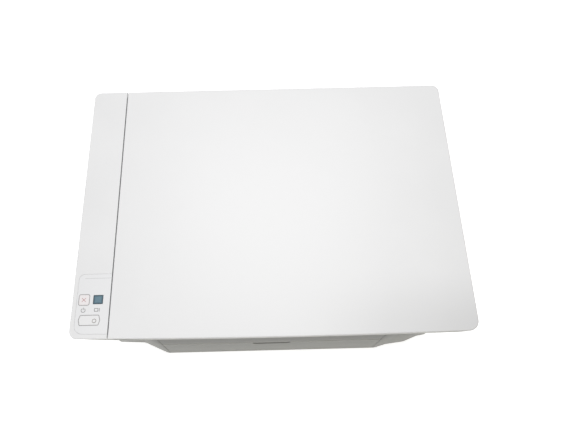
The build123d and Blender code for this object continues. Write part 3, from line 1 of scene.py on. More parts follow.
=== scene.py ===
"""Looks of a flat all-in-one inkjet printer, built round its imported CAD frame. Lengths are metres."""

import json
import logging
import math
from collections.abc import Callable, Iterable, Mapping, Sequence
from dataclasses import dataclass, field
from enum import StrEnum, auto
from functools import reduce
from typing import Any

import bpy
import numpy as np
from mathutils import Euler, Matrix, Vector

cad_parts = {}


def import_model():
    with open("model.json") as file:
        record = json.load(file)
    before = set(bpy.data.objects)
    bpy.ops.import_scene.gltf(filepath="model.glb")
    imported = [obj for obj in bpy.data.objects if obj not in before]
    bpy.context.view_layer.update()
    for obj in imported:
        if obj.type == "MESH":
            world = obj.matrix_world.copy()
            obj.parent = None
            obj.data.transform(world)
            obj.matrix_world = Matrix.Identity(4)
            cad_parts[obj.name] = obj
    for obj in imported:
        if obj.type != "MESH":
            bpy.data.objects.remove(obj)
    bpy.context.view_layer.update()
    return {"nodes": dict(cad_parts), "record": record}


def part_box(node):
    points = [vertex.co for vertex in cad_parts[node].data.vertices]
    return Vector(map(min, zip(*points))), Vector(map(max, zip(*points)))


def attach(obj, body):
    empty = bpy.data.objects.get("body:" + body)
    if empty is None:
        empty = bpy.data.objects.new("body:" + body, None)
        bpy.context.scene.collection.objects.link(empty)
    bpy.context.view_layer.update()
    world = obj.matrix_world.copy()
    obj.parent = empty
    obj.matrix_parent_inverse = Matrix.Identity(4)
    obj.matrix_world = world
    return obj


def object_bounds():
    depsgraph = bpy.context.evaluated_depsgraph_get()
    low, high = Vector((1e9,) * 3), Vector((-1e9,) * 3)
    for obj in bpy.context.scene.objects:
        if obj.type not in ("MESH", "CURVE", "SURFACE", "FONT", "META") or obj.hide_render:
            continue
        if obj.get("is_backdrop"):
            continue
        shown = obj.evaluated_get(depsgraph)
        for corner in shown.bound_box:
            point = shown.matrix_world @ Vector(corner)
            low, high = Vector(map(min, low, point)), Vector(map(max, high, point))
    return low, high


LOG = logging.getLogger("printer")
MM = 0.001
Array = np.ndarray
Material = bpy.types.Material
Object = bpy.types.Object
Socket = bpy.types.NodeSocket
Colour = tuple[float, float, float]
Place = tuple[float, float, float]
Span = tuple[float, float]
Row = tuple[float, ...]
BEVEL_SAMPLES = 6
# One less the cosine between the rounded and the true direction: where wear starts, and where it is whole.
EDGE_TURN = (0.01, 0.2)


# ------------ shader maths


def joins(operation: str, swapped: bool = False) -> Callable[["Value", "Value | float"], "Value"]:
    """A method that joins a value and another term in one Math node, the other one first where swapped."""
    order = -1 if swapped else 1
    return lambda value, other: value.joined(operation, *(value, other)[::order])


@dataclass(frozen=True)
class Value:
    """A value inside a material; Python arithmetic on it adds Math nodes.

    Below is 1 under the other term, else 0, and fold is a triangle wave that rises to its term.
    """

    shade: "Shade"
    socket: Socket

    def joined(self, operation: str, *terms: "Value | float") -> "Value":
        """One Math node's result over the terms in order."""
        node = self.shade.node("ShaderNodeMath", {"operation": operation}, dict(enumerate(terms)))
        return Value(self.shade, node.outputs[0])

    __add__, __radd__ = joins("ADD"), joins("ADD", True)
    __sub__, __rsub__ = joins("SUBTRACT"), joins("SUBTRACT", True)
    __mul__, __rmul__ = joins("MULTIPLY"), joins("MULTIPLY", True)
    __truediv__, __rtruediv__ = joins("DIVIDE"), joins("DIVIDE", True)
    at_least, below, fold = joins("MAXIMUM"), joins("LESS_THAN"), joins("PINGPONG")

    def absolute(self) -> "Value":
        """Size without sign."""
        return self.joined("ABSOLUTE", self)

    def ramp(self, low: float, high: float) -> "Value":
        """Rises smoothly from 0 at low to 1 at high."""
        node = self.shade.node("ShaderNodeMapRange", {"interpolation_type": "SMOOTHSTEP"},
                               {0: self, 1: low, 2: high, 3: 0.0, 4: 1.0})
        return Value(self.shade, node.outputs[0])


class Shade:
    """A material under construction."""

    def __init__(self, name: str) -> None:
        """Starts an empty material of the given name with a Principled shader."""
        self.material = bpy.data.materials.new(name)
        self.material.use_nodes = True
        self.tree = self.material.node_tree
        self.tree.nodes.clear()
        self.shader = self.tree.nodes.new("ShaderNodeBsdfPrincipled")
        output = self.tree.nodes.new("ShaderNodeOutputMaterial")
        self.tree.links.new(self.shader.outputs[0], output.inputs["Surface"])
        self.point = self.node("ShaderNodeTexCoord").outputs["Object"]

    def set(self, socket: Socket, value: Any) -> None:
        """Links a value to an input socket, or sets a constant on it.

        Args:
            socket: The input socket.
            value: A Value, an output socket, a number or a tuple.
        """
        if isinstance(value, Value):
            value = value.socket
        if isinstance(value, Socket):
            self.tree.links.new(value, socket)
        elif socket.type == "RGBA":
            socket.default_value = (*value, 1.0)
        else:
            socket.default_value = value

    def node(self, kind: str, settings: Mapping[str, Any] | None = None,
             inputs: Mapping[int | str, Any] | None = None) -> bpy.types.Node:
        """Adds any node.

        Args:
            kind: The node's type name.
            settings: Its properties, set first.
            inputs: Values or links of its sockets, by name or number; None leaves a socket alone.

        Returns:
            The node.
        """
        node = self.tree.nodes.new(kind)
        for key, setting in (settings or {}).items():
            setattr(node, key, setting)
        for key, value in (inputs or {}).items():
            if value is not None:
                self.set(node.inputs[key], value)
        return node

    def axes(self) -> tuple[Value, Value, Value]:
        """The point's three coordinates in metres."""
        split = self.node("ShaderNodeSeparateXYZ", None, {0: self.point})
        return tuple(Value(self, out) for out in split.outputs)

    def stretched(self, x: float, y: float, z: float) -> Socket:
        """The point with each axis multiplied by its own factor."""
        return self.node("ShaderNodeVectorMath", {"operation": "MULTIPLY"},
                         {0: self.point, 1: (x, y, z)}).outputs[0]

    def noise(self, size: float, detail: float = 2.0, rough: float = 0.5,
              point: Socket | None = None) -> Value:
        """Soft noise.

        Args:
            size: Width of one blotch in metres.
            detail: Number of finer layers.
            rough: Strength of the finer layers.
            point: Where it is read, by default the object's own coordinates.

        Returns:
            A value about 0.5.
        """
        node = self.node("ShaderNodeTexNoise", None,
                         {"Vector": point or self.point, "Scale": 1.0 / size, "Detail": detail,
                          "Roughness": rough})
        return Value(self, node.outputs["Fac"])

    def cells(self, size: float) -> Value:
        """Distance to scattered points, in units of their mean distance, which is the size in metres."""
        node = self.node("ShaderNodeTexVoronoi", None, {"Vector": self.point, "Scale": 1.0 / size})
        return Value(self, node.outputs["Distance"])

    def bands(self, levels: Sequence[float], half: float) -> Value:
        """1 within half a band's width of any of the heights, else 0."""
        height = self.axes()[2]
        return reduce(Value.at_least, [(height - level).absolute().below(half) for level in levels])

    def mix(self, share: Value | float, first: Any, second: Any) -> Socket:
        """A colour between two others.

        Args:
            share: 0 gives the first, 1 the second.
            first: A colour or colour socket.
            second: A colour or colour socket.

        Returns:
            The colour's socket.
        """
        return self.node("ShaderNodeMix", {"data_type": "RGBA", "clamp_factor": True},
                         {0: share, 6: first, 7: second}).outputs[2]

    def eased(self, radius: float) -> Socket:
        """The surface direction with edges rounded to a radius."""
        return self.node("ShaderNodeBevel", {"samples": BEVEL_SAMPLES}, {"Radius": radius}).outputs[0]

    def wear(self, rounded: Socket) -> Value:
        """1 along an edge, 0 on flat ground, from how far the rounded direction leaves the true one."""
        true = self.node("ShaderNodeNewGeometry").outputs["Normal"]
        dot = self.node("ShaderNodeVectorMath", {"operation": "DOT_PRODUCT"}, {0: rounded, 1: true})
        return (1.0 - Value(self, dot.outputs["Value"])).ramp(*EDGE_TURN)

    def bump(self, height: Value, depth: float, normal: Socket | None = None,
             strength: float = 1.0) -> Socket:
        """Raises the surface by a height value.

        Args:
            height: 0 to 1.
            depth: What 1 means, in metres.
            normal: The direction that is bent, by default the surface's own.
            strength: Share of the effect.

        Returns:
            The bent direction.
        """
        inputs = {"Height": height, "Distance": depth, "Strength": strength, "Normal": normal}
        return self.node("ShaderNodeBump", None, inputs).outputs[0]

    def finish(self, **sockets: Any) -> Material:
        """Sets the shader's sockets, named with underscores for spaces, and returns the material."""
        for key, value in sockets.items():
            self.set(self.shader.inputs[key.replace("_", " ")], value)
        return self.material


# ------------ finishes


class Slot(StrEnum):
    """The record's material slots, which are the names in lower case."""

    WHITE_SHELL = auto()
    GREY_SHELL = auto()
    PANEL_INLAY = auto()
    BUTTON_FACE = auto()
    DISPLAY_GLASS = auto()
    CLEAR_GLASS = auto()
    PAD_WHITE = auto()
    INNER_LIGHT = auto()
    INNER_DARK = auto()
    INK_CASE = auto()
    LATCH_BLUE = auto()
    GEAR_PLASTIC = auto()
    RUBBER = auto()
    STEEL = auto()
    CIRCUIT = auto()
    CABLE_WHITE = auto()
    FELT = auto()


@dataclass(frozen=True)
class PaintedShade:
    """Painted shade: a slow darkening across a moulding.

    Attributes:
        spans: Axis (0, 1 or 2), where it starts and where it is whole; several axes' ramps are multiplied.
        share: How much of the colour is gone where it is whole.
    """

    spans: tuple[tuple[int, float, float], ...]
    share: float

    def over(self, shade: Shade) -> Value:
        """The painted shade as a value over the surface."""
        axes = shade.axes()
        rises = [1 - axes[axis].ramp(whole, start) if start > whole else axes[axis].ramp(start, whole)
                 for axis, start, whole in self.spans]
        return reduce(Value.__mul__, rises) * self.share


@dataclass(frozen=True)
class PaintedGapLight:
    """Painted light on an upper edge, where shade falls in the gap above it, with or without a finger scoop
    behind it that is painted lighter too.

    Attributes:
        level: The edge's height.
        front: Y of the face under the edge.
        scoop: How deep the scoop is.
        half: Half the edge's width.
        reach: How far back the painted light reaches.
        behind: How far behind the front the scoop's faces begin and end.
        scoop_share: The scoop's painted light as a share of the edge's.
        share: How much of the paler colour the edge's painted light takes.
    """

    level: float
    front: float
    scoop: float | None = None
    half: float = 0.35 * MM
    reach: float = 0.8 * MM
    behind: Span = (0.12 * MM, 1.4 * MM)
    scoop_share: float = 0.14
    share: float = 0.8

    def over(self, shade: Shade) -> Value:
        """The painted light as a value over the surface."""
        _, y, z = shade.axes()
        painted_light = shade.bands((self.level,), self.half) * y.below(self.front + self.reach)
        if self.scoop is not None:
            near, far = (self.front + distance for distance in self.behind)
            inside = (self.level - z).below(self.scoop) * y.below(far) * (1 - y.below(near))
            painted_light = painted_light.at_least(inside * self.scoop_share)
        return painted_light * self.share


def tinted(colour: Colour, factor: float, lift: float = 0.0, most: float = 1.0) -> Colour:
    """A colour times a factor plus a lift, held under a limit."""
    return tuple(min(most, part * factor + lift) for part in colour)


@dataclass(frozen=True)
class Moulded:
    """Injection-moulded plastic: fine grain, soft clouding, slightly paler handled edges.

    Grain, its depth and the edges' radius are in millimetres, clouding and wear are shares of a change of
    colour, fades are painted shade, the gap light is painted light where shade falls in a gap, and partings
    are the heights of fine dark lines: parting lines, or painted shadow lines at a foot.
    """

    name: str
    colour: Colour
    roughness: float
    grain: float
    depth: float
    clouding: float = 0.03
    edge: float = 0.5
    wear: float = 0.06
    partings: Row = ()
    fades: tuple[PaintedShade, ...] = ()
    nosing: PaintedGapLight | None = None

    def coloured(self, shade: Shade, cloud: Value, speck: Value, worn: Value) -> Socket:
        """The colour over the surface.

        Args:
            shade: The material.
            cloud: The clouding, about 0.5.
            speck: The grain, about 0.5.
            worn: 1 along edges, else 0.

        Returns:
            The colour's socket.
        """
        base = self.colour
        dark, pale = tinted(base, 1 - self.clouding), tinted(base, 1 + self.clouding)
        colour = shade.mix(cloud.ramp(0.3, 0.7), dark, pale)
        colour = shade.mix(speck.ramp(0.35, 0.75) * 0.05, colour, tinted(base, 0.8))
        colour = shade.mix(worn * self.wear, colour, tinted(base, 1.25, 0.03))
        # Painted shade: each fade darkens the colour towards where it is whole.
        for fade in self.fades:
            colour = shade.mix(fade.over(shade), colour, (0.0, 0.0, 0.0))
        # Painted light: paler where shade falls in a gap or a finger scoop.
        if self.nosing:
            colour = shade.mix(self.nosing.over(shade), colour, tinted(base, 3.0, most=0.8))
        # Fine dark lines: parting lines, and painted shadow lines at a foot.
        if self.partings:
            colour = shade.mix(shade.bands(self.partings, 0.3 * MM) * 0.75, colour, tinted(base, 0.25))
        return colour

    def build(self) -> Material:
        """Makes the material."""
        shade = Shade(self.name)
        cloud = shade.noise(90 * MM, 3.0, 0.55)
        speck = shade.noise(self.grain * MM, 1.0, 0.4)
        rounded = shade.eased(self.edge * MM)
        worn = shade.wear(rounded)
        height = speck + shade.noise(self.grain * MM * 4, 1.0) * 0.5
        rough = self.roughness + (cloud - 0.5) * 0.12 + (speck - 0.5) * 0.06 - worn * 0.05
        return shade.finish(Base_Color=self.coloured(shade, cloud, speck, worn), Roughness=rough,
                            Normal=shade.bump(height, self.depth * MM, rounded))


@dataclass(frozen=True)
class Rubber:
    """Matt rubber with a faint bloom of dust."""

    name: str
    colour: Colour

    def build(self) -> Material:
        """Makes the material."""
        shade = Shade(self.name)
        dust = shade.noise(12 * MM, 4.0, 0.6).ramp(0.45, 0.8)
        grain = shade.noise(0.4 * MM, 2.0)
        colour = shade.mix(dust * 0.25, self.colour, (0.16, 0.155, 0.15))
        return shade.finish(Base_Color=colour, Roughness=0.78 + (grain - 0.5) * 0.2,
                            Normal=shade.bump(grain, 0.04 * MM))


@dataclass(frozen=True)
class Metal:
    """Rolled or ground metal with fine lines along X and a light film of oil."""

    name: str
    colour: Colour
    roughness: float = 0.32
    line: float = 0.12 * MM

    def build(self) -> Material:
        """Makes the material."""
        shade = Shade(self.name)
        along = shade.stretched(0.02, 1.0, 1.0)
        lines = shade.noise(self.line, 3.0, 0.6, along)
        stain = shade.noise(25 * MM, 4.0, 0.6).ramp(0.4, 0.75)
        colour = shade.mix(stain * 0.3, self.colour, tinted(self.colour, 0.72))
        rough = self.roughness + (lines - 0.5) * 0.25 + stain * 0.1
        return shade.finish(Base_Color=colour, Metallic=1.0, Roughness=rough,
                            Normal=shade.bump(lines, 0.01 * MM, shade.eased(0.25 * MM)))


@dataclass(frozen=True)
class Display:
    """A passive liquid-crystal display behind a clear window: teal, darker to its border."""

    name: str
    centre: Span
    half: Span
    face: Colour = (0.135, 0.228, 0.288)
    border: Colour = (0.05, 0.105, 0.14)
    cell: float = 0.15 * MM

    def build(self) -> Material:
        """Makes the material."""
        shade = Shade(self.name)
        x, y, _ = shade.axes()
        across = (x - self.centre[0]).absolute() / self.half[0]
        along = (y - self.centre[1]).absolute() / self.half[1]
        rim = across.at_least(along).ramp(0.45, 0.95)
        drift = shade.noise(5 * MM, 2.0)
        colour = shade.mix(rim, self.face, self.border)
        colour = shade.mix(drift.ramp(0.4, 0.8) * 0.25, colour, (0.16, 0.3, 0.34))
        cells = x.fold(self.cell) / self.cell
        return shade.finish(Base_Color=colour, Roughness=0.16 + drift * 0.06, Coat_Weight=0.6,
                            Coat_Roughness=0.04, Normal=shade.bump(cells, 0.002 * MM, shade.eased(0.2 * MM)))


@dataclass(frozen=True)
class FlatGlass:
    """Clear float glass with the faintest wipe marks."""

    name: str

    def build(self) -> Material:
        """Makes the material."""
        shade = Shade(self.name)
        wiped = shade.noise(30 * MM, 3.0, 0.6, shade.stretched(0.3, 1.0, 1.0))
        return shade.finish(Base_Color=(0.93, 0.97, 0.96), Roughness=0.01 + wiped.ramp(0.5, 0.8) * 0.05,
                            Transmission_Weight=1.0, IOR=1.52)


@dataclass(frozen=True)
class FoamPad:
    """White film over soft foam, very slightly uneven."""

    name: str
    colour: Colour = (0.86, 0.86, 0.85)

    def build(self) -> Material:
        """Makes the material."""
        shade = Shade(self.name)
        swell = shade.noise(28 * MM, 2.0)
        grain = shade.noise(0.8 * MM, 1.0)
        colour = shade.mix(swell.ramp(0.35, 0.75) * 0.5, self.colour, tinted(self.colour, 0.95))
        return shade.finish(Base_Color=colour, Roughness=0.5 + (grain - 0.5) * 0.1,
                            Normal=shade.bump(swell + grain * 0.05, 0.4 * MM, shade.eased(0.6 * MM), 0.4))


@dataclass(frozen=True)
class CircuitBoard:
    """Solder mask over tracks on the board's faces, darker parts standing on it."""

    name: str
    levels: Row
    pitches: Span = (0.7 * MM, 0.9 * MM)

    def build(self) -> Material:
        """Makes the material."""
        shade = Shade(self.name)
        x, y, _ = shade.axes()
        across, along = self.pitches
        tracks = (x + shade.noise(9 * MM, 0.0) * 6 * MM).fold(across) / across
        crossing = (y + shade.noise(11 * MM, 0.0) * 8 * MM).fold(along) / along
        choice = shade.noise(14 * MM, 0.0).ramp(0.49, 0.51)
        track = (tracks * choice + crossing * (1.0 - choice)).ramp(0.45, 0.6)
        mask = shade.mix(track, (0.012, 0.115, 0.05), (0.03, 0.2, 0.09))
        pads = shade.cells(5 * MM).below(0.11)
        mask = shade.mix(pads, mask, (0.62, 0.6, 0.52))
        board = shade.bands(self.levels, 0.2 * MM)
        speck = shade.noise(0.6 * MM, 2.0)
        part = shade.mix(speck * 0.4, (0.02, 0.02, 0.022), (0.05, 0.05, 0.05))
        return shade.finish(Base_Color=shade.mix(board, part, mask), Roughness=0.32 + speck * 0.2,
                            Normal=shade.bump(track * board, 0.03 * MM))


@dataclass(frozen=True)
class Ribbon:
    """Flat flexible cable: silvery conductors in a white jacket."""

    name: str
    pitch: float = 1.0 * MM

    def build(self) -> Material:
        """Makes the material."""
        shade = Shade(self.name)
        _, y, z = shade.axes()
        rib = ((y + z).fold(self.pitch / 2) / (self.pitch / 2)).ramp(0.35, 0.65)
        colour = shade.mix(rib, (0.78, 0.78, 0.77), (0.5, 0.5, 0.52))
        return shade.finish(Base_Color=colour, Roughness=0.4 - rib * 0.12, Normal=shade.bump(rib, 0.06 * MM))


@dataclass(frozen=True)
class Felt:
    """Pressed white fibres with a grey cast."""

    name: str

    def build(self) -> Material:
        """Makes the material."""
        shade = Shade(self.name)
        fibre = shade.noise(0.25 * MM, 3.0, 0.7, shade.stretched(1.0, 0.3, 1.0))
        clump = shade.noise(4 * MM, 3.0)
        colour = shade.mix(fibre.ramp(0.3, 0.7) * 0.6 + clump * 0.3, (0.62, 0.62, 0.6), (0.8, 0.8, 0.78))
        return shade.finish(Base_Color=colour, Roughness=0.92, Sheen_Weight=0.3,
                            Normal=shade.bump(fibre + clump, 0.3 * MM))


@dataclass(frozen=True)
class Print:
    """Pad-printed ink, slightly uneven in its cover."""

    name: str
    colour: Colour

    def build(self) -> Material:
        """Makes the material."""
        shade = Shade(self.name)
        cover = shade.noise(0.3 * MM, 2.0)
        colour = shade.mix(cover.ramp(0.5, 0.9) * 0.35, self.colour, tinted(self.colour, 0.5, 0.35))
        return shade.finish(Base_Color=colour, Roughness=0.45 + (cover - 0.5) * 0.1)


# ------------ meshes


def linked(name: str, data: bpy.types.ID) -> Object:
    """A new object in the scene, at the origin."""
    holder = bpy.data.objects.new(name, data)
    bpy.context.scene.collection.objects.link(holder)
    return holder


def make_object(name: str, points: Array, faces: Sequence[Sequence[int]], smooth: bool = False) -> Object:
    """Puts points and faces into a new object at the origin.

    Args:
        name: The piece's name.
        points: (n, 3) places in metres.
        faces: Corner numbers of each face.
        smooth: Whether faces shade smoothly.

    Returns:
        The object.
    """
    mesh = bpy.data.meshes.new(name)
    mesh.from_pydata(points.tolist(), [], faces)
    mesh.polygons.foreach_set("use_smooth", np.full(len(mesh.polygons), smooth))
    mesh.update()
    return linked(name, mesh)


def circle(radius: float, count: int, start: float = 0.0, sweep: float = 2 * math.pi) -> Array:
    """Points (r cos a, r sin a) for a running evenly over an arc; a full turn leaves its last point out."""
    full = abs(sweep - 2 * math.pi) < 1e-6
    angle = np.linspace(start, start + sweep, count, endpoint=not full)
    return radius * np.stack([np.cos(angle), np.sin(angle)], axis=1)


def rounded_box(half: Array, radius: float, count: int = 10) -> Array:
    """A rectangle's outline whose corners are quarter circles, anticlockwise from the lower right."""
    quarter = math.pi / 2
    ways = np.array([(1, -1), (1, 1), (-1, 1), (-1, -1)])
    arcs = [circle(radius, count, quarter * (turn - 1), quarter) for turn in range(4)]
    return np.concatenate([arc + way * (half - radius) for arc, way in zip(arcs, ways)])


def directed(rows: Array) -> Array:
    """Rows of an (n, 2) array brought to unit length."""
    return rows / np.linalg.norm(rows, axis=1, keepdims=True)


def pointed_bar(half: Array, point: float, radius: float, count: int = 8) -> Array:
    """A bar whose ends are bluntly pointed by the given length: six corners, each cut by an arc that touches
    both of its edges, anticlockwise."""
    x, y = half
    side = x - point
    corners = np.array([(side, -y), (x, 0.0), (side, y), (-side, y), (-x, 0.0), (-side, -y)])
    ahead = directed(np.roll(corners, -1, axis=0) - corners)
    inward = directed(directed(np.roll(corners, 1, axis=0) - corners) + ahead)
    half_angle = np.arccos(np.clip(np.sum(inward * ahead, axis=1), -1.0, 1.0))
    centres = corners + inward * (radius / np.sin(half_angle))[:, None]
    sweep = (math.pi / 2 - half_angle)[:, None] * np.linspace(-1.0, 1.0, count)
    angle = np.arctan2(-inward[:, 1], -inward[:, 0])[:, None] + sweep
    return (centres[:, None, :] + radius * np.stack([np.cos(angle), np.sin(angle)], axis=2)).reshape(-1, 2)


def grown(outline: Array, by: float) -> Array:
    """An outline moved outwards: each point goes along the mean of its two edges' normals."""
    forward = directed(np.roll(outline, -1, axis=0) - outline)
    normal = np.stack([forward[:, 1], -forward[:, 0]], axis=1)
    mean = normal + np.roll(normal, 1, axis=0)
    mean /= np.sum(mean * normal, axis=1, keepdims=True)
    return outline + by * mean


def level_loop(outline: Array, height: float) -> Array:
    """An outline at a height, as an (n, 3) array."""
    return np.column_stack([outline, np.full(len(outline), height)])


def band_faces(count: int, rows: int, first: int = 0) -> list[list[int]]:
    """Quads between neighbouring rows of a closed loop."""
    i = np.arange(count)
    j = (i + 1) % count
    quads = [np.stack([i + r * count, j + r * count, j + (r + 1) * count, i + (r + 1) * count], axis=1)
             for r in range(rows - 1)]
    return (np.concatenate(quads) + first).tolist()


def capped(rows: Sequence[Array], first: int = 0) -> tuple[Array, list[list[int]]]:
    """A closed shell of loops of equal length, each anticlockwise seen from the next, with both ends closed.

    Args:
        rows: The loops as (n, 3) arrays.
        first: The number of the first point.

    Returns:
        Points and faces.
    """
    count = len(rows[0])
    last = first + (len(rows) - 1) * count
    caps = [list(range(first + count - 1, first - 1, -1)), list(range(last, last + count))]
    return np.concatenate(rows), band_faces(count, len(rows), first) + caps


@dataclass
class Inlays:
    """Collects flat shapes into one mesh: solid plates and closed rings, drawn level and then turned to face
    another way by the rows of a rotation (place = facing times point)."""

    low: float
    high: float
    facing: Array = field(default_factory=lambda: np.eye(3))
    points: list[Array] = field(default_factory=list)
    faces: list[list[int]] = field(default_factory=list)

    def plate(self, outline: Array) -> None:
        """Adds a plate: the outline at two heights, joined by a wall and closed by two faces."""
        loops = [level_loop(outline, height) for height in (self.low, self.high)]
        points, faces = capped(loops, sum(map(len, self.points)))
        self.points.append(points)
        self.faces += faces

    def ring(self, outer: Array, inner: Array) -> None:
        """Adds a ring: outer wall, top, inner wall and underside as one closed band of four rows."""
        first, count = sum(map(len, self.points)), len(outer)
        walls = ((outer, self.low), (outer, self.high), (inner, self.high), (inner, self.low))
        self.points += [level_loop(outline, height) for outline, height in walls]
        self.faces += (np.array(band_faces(count, len(walls) + 1)) % (len(walls) * count) + first).tolist()

    def stroke(self, path: Array, width: float) -> None:
        """Adds a line with round ends: both sides lie half a width from the path along its normals."""
        ahead = directed(np.gradient(path, axis=0))
        side = np.stack([ahead[:, 1], -ahead[:, 0]], axis=1) * width / 2
        ends = [tip + circle(width / 2, 9, math.atan2(way[1], way[0]) - math.pi / 2, math.pi)[1:-1]
                for tip, way in ((path[-1], ahead[-1]), (path[0], -ahead[0]))]
        self.plate(np.concatenate([path + side, ends[0], (path - side)[::-1], ends[1]]))

    def finish(self, name: str, material: Material, slot: Slot,
               body: str = "printer_body") -> Object:
        """Makes the piece, dresses it and lets it ride on a body."""
        piece = make_object(name, np.concatenate(self.points) @ self.facing.T, self.faces)
        piece.data.materials.append(material)
        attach(piece, body)
        return piece


# Stands a level drawing upright, facing the back.
REARWARD = np.array([[-1, 0, 0], [0, 0, 1], [0, 1, 0]])

# The share of the quarter ellipse that a dome covers, before it ends in a flat.
DOME_SWEEP = 0.94
INK = 0.04 * MM


def inked(level: float) -> Inlays:
    """An empty collection of prints on a surface at the given height."""
    return Inlays(level - INK / 2, level + INK)


def domes(centres: Array, radius: float, height: float) -> tuple[Array, list]:
    """Low round pads that hang: a quarter ellipse turned about each centre, radius r cos t and depth h sin t.

    Args:
        centres: (n, 3) middles of the flat sides.
        radius: The pads' radius.
        height: How far they stand out.

    Returns:
        Points and faces.
    """
    steps = np.linspace(0.0, math.pi / 2 * DOME_SWEEP, 8)
    pad, faces = capped([level_loop(circle(radius * math.cos(t), 36), height * math.sin(t)) for t in steps])
    points = (centres[:, None, :] + pad[None, :, :] * (1, -1, -1)).reshape(-1, 3)
    return points, [[corner + k * len(pad) for corner in face] for k in range(len(centres)) for face in faces]


# ------------ palette


def middle(node: str) -> tuple[Array, Array]:
    """A node's middle and half size in plan."""
    low, high = (np.array(corner)[:2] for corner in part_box(node))
    return (low + high) / 2, (high - low) / 2


WHITE = (0.80, 0.80, 0.805)
GLOSSY_WHITE = (WHITE, 0.36, 0.45, 0.012, 0.012, 0.7)
GREY = (0.228, 0.228, 0.214)
# A shaded copy of the grey: the middle case and the door are painted darker for the shade under the lid.
UPPER_SHADED_GREY = (0.152, 0.152, 0.141)
PARTING_Z = 62.5 * MM
# Painted shade: both greys darker towards their tops, for the shade under the lid.
LOWER_PAINTED_SHADE = PaintedShade(((2, 6 * MM, PARTING_Z),), 0.2)
UPPER_PAINTED_SHADE = PaintedShade(((2, PARTING_Z - 4 * MM, 84 * MM),), 0.24)
# Where the painted shade on the tops' edge begins and where it is whole: from the seam, and down from the top.
SEAM_SHADE_RAMP = (0.05 * MM, 0.5 * MM)
EDGE_SHADE_RAMP = (0.03 * MM, 0.45 * MM)
# A painted shadow line this far above the tops' foot, for the gap's shade under their edge.
FOOT_SHADOW_LINE = 0.5 * MM
BOARD_THICKNESS = 1.2 * MM
# The case's edge, painted lighter for the gap's shade, lies this far under the tray; the tray's finger scoop,
# also painted lighter, reaches so far down.
UNDER_TRAY = 1.0 * MM
TRAY_SCOOP = 7.3 * MM


def grained(name: str, colour: Colour, roughness: float, wear: float = 0.12, edge: float = 0.6,
            **more: Any) -> Moulded:
    """A coarsely grained moulding, otherwise as Moulded says."""
    return Moulded(name, colour, roughness, 0.6, 0.05, 0.03, edge, wear, **more)


def finishes() -> dict[Slot, Any]:
    """One finish for each of the record's material slots."""
    centre, half = middle("lcd_window")
    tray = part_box("output_tray")[0]
    boards = (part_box("control_board")[0].z + BOARD_THICKNESS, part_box("control_panel")[0].z)
    return {
        Slot.WHITE_SHELL: Moulded("white_gloss", *GLOSSY_WHITE),
        # The case's grey: painted shade darker towards the parting, and painted light on its edge in the gap
        # under the tray.
        Slot.GREY_SHELL: grained("grey_grained", GREY, 0.55, partings=(PARTING_Z,), fades=(LOWER_PAINTED_SHADE,),
                                 nosing=PaintedGapLight(tray.z - UNDER_TRAY, tray.y)),
        Slot.PANEL_INLAY: Moulded("panel_white", (0.808, 0.81, 0.82), 0.3, 0.4, 0.006, 0.01, 0.25),
        Slot.BUTTON_FACE: Moulded("button_white", (0.84, 0.805, 0.81), 0.38, 0.3, 0.008, 0.01, 0.5),
        Slot.DISPLAY_GLASS: Display("display", tuple(centre), tuple(half)),
        Slot.CLEAR_GLASS: FlatGlass("flat_glass"),
        Slot.PAD_WHITE: FoamPad("foam_pad"),
        Slot.INNER_LIGHT: Moulded("inner_light", (0.52, 0.52, 0.51), 0.5, 0.6, 0.03, 0.03, 0.4),
        Slot.INNER_DARK: Moulded("inner_dark", (0.035, 0.035, 0.037), 0.48, 0.5, 0.03, 0.08, 0.4, 0.3),
        Slot.INK_CASE: Moulded("ink_case", (0.02, 0.02, 0.022), 0.3, 0.4, 0.015, 0.05, 0.4, 0.25),
        Slot.LATCH_BLUE: Moulded("latch_blue", (0.06, 0.16, 0.42), 0.36, 0.4, 0.015, 0.04, 0.3, 0.15),
        Slot.GEAR_PLASTIC: Moulded("gear_plastic", (0.62, 0.6, 0.54), 0.4, 0.5, 0.012, 0.04, 0.15, 0.2),
        Slot.RUBBER: Rubber("roller_rubber", (0.03, 0.03, 0.03)),
        Slot.STEEL: Metal("zinc_steel", (0.6, 0.6, 0.61)),
        Slot.CIRCUIT: CircuitBoard("circuit", boards),
        Slot.CABLE_WHITE: Ribbon("ribbon"),
        Slot.FELT: Felt("felt"),
    }


@dataclass
class Palette:
    """Builds each finish once and hands it to whatever wears it."""

    finishes: Mapping[Slot, Any]
    slots: Mapping[str, Slot]
    made: dict[Slot, Material] = field(default_factory=dict)

    def of(self, slot: Slot) -> Material:
        """The slot's material."""
        if slot not in self.made:
            self.made[slot] = self.finishes[slot].build()
        return self.made[slot]

    def dress(self, node: Object) -> None:
        """Gives a CAD node the material of its own slot."""
        wear(node, self.of(self.slots[node.name]))


def wear(node: Object, material: Material) -> None:
    """Puts one material in all the material slots of a node."""
    for place in node.material_slots:
        place.material = material


# ------------ sub-assemblies


@dataclass
class SubAssembly:
    """Pieces that belong together.

    Attributes:
        nodes: The frame's CAD nodes by name.
        palette: Where finishes come from.
        parts: Names of the CAD nodes in this sub-assembly.
    """

    nodes: Mapping[str, Object]
    palette: Palette
    parts: tuple[str, ...] = ()

    def own_finishes(self) -> Mapping[str, Any]:
        """Finishes of nodes that don't wear their slot's common one."""
        return {}

    def build(self) -> None:
        """Dresses the CAD nodes, then adds the sub-assembly's own pieces."""
        for name in self.parts:
            self.palette.dress(self.nodes[name])
            LOG.info("%s: %s", type(self).__name__, name)
        for name, finish in self.own_finishes().items():
            wear(self.nodes[name], finish.build())
        for piece in self.pieces():
            LOG.info("%s: %s (%d faces)", type(self).__name__, piece.name, len(piece.data.polygons))

    def pieces(self) -> Iterable[Object]:
        """Makes the pieces that the CAD nodes don't show."""
        return ()


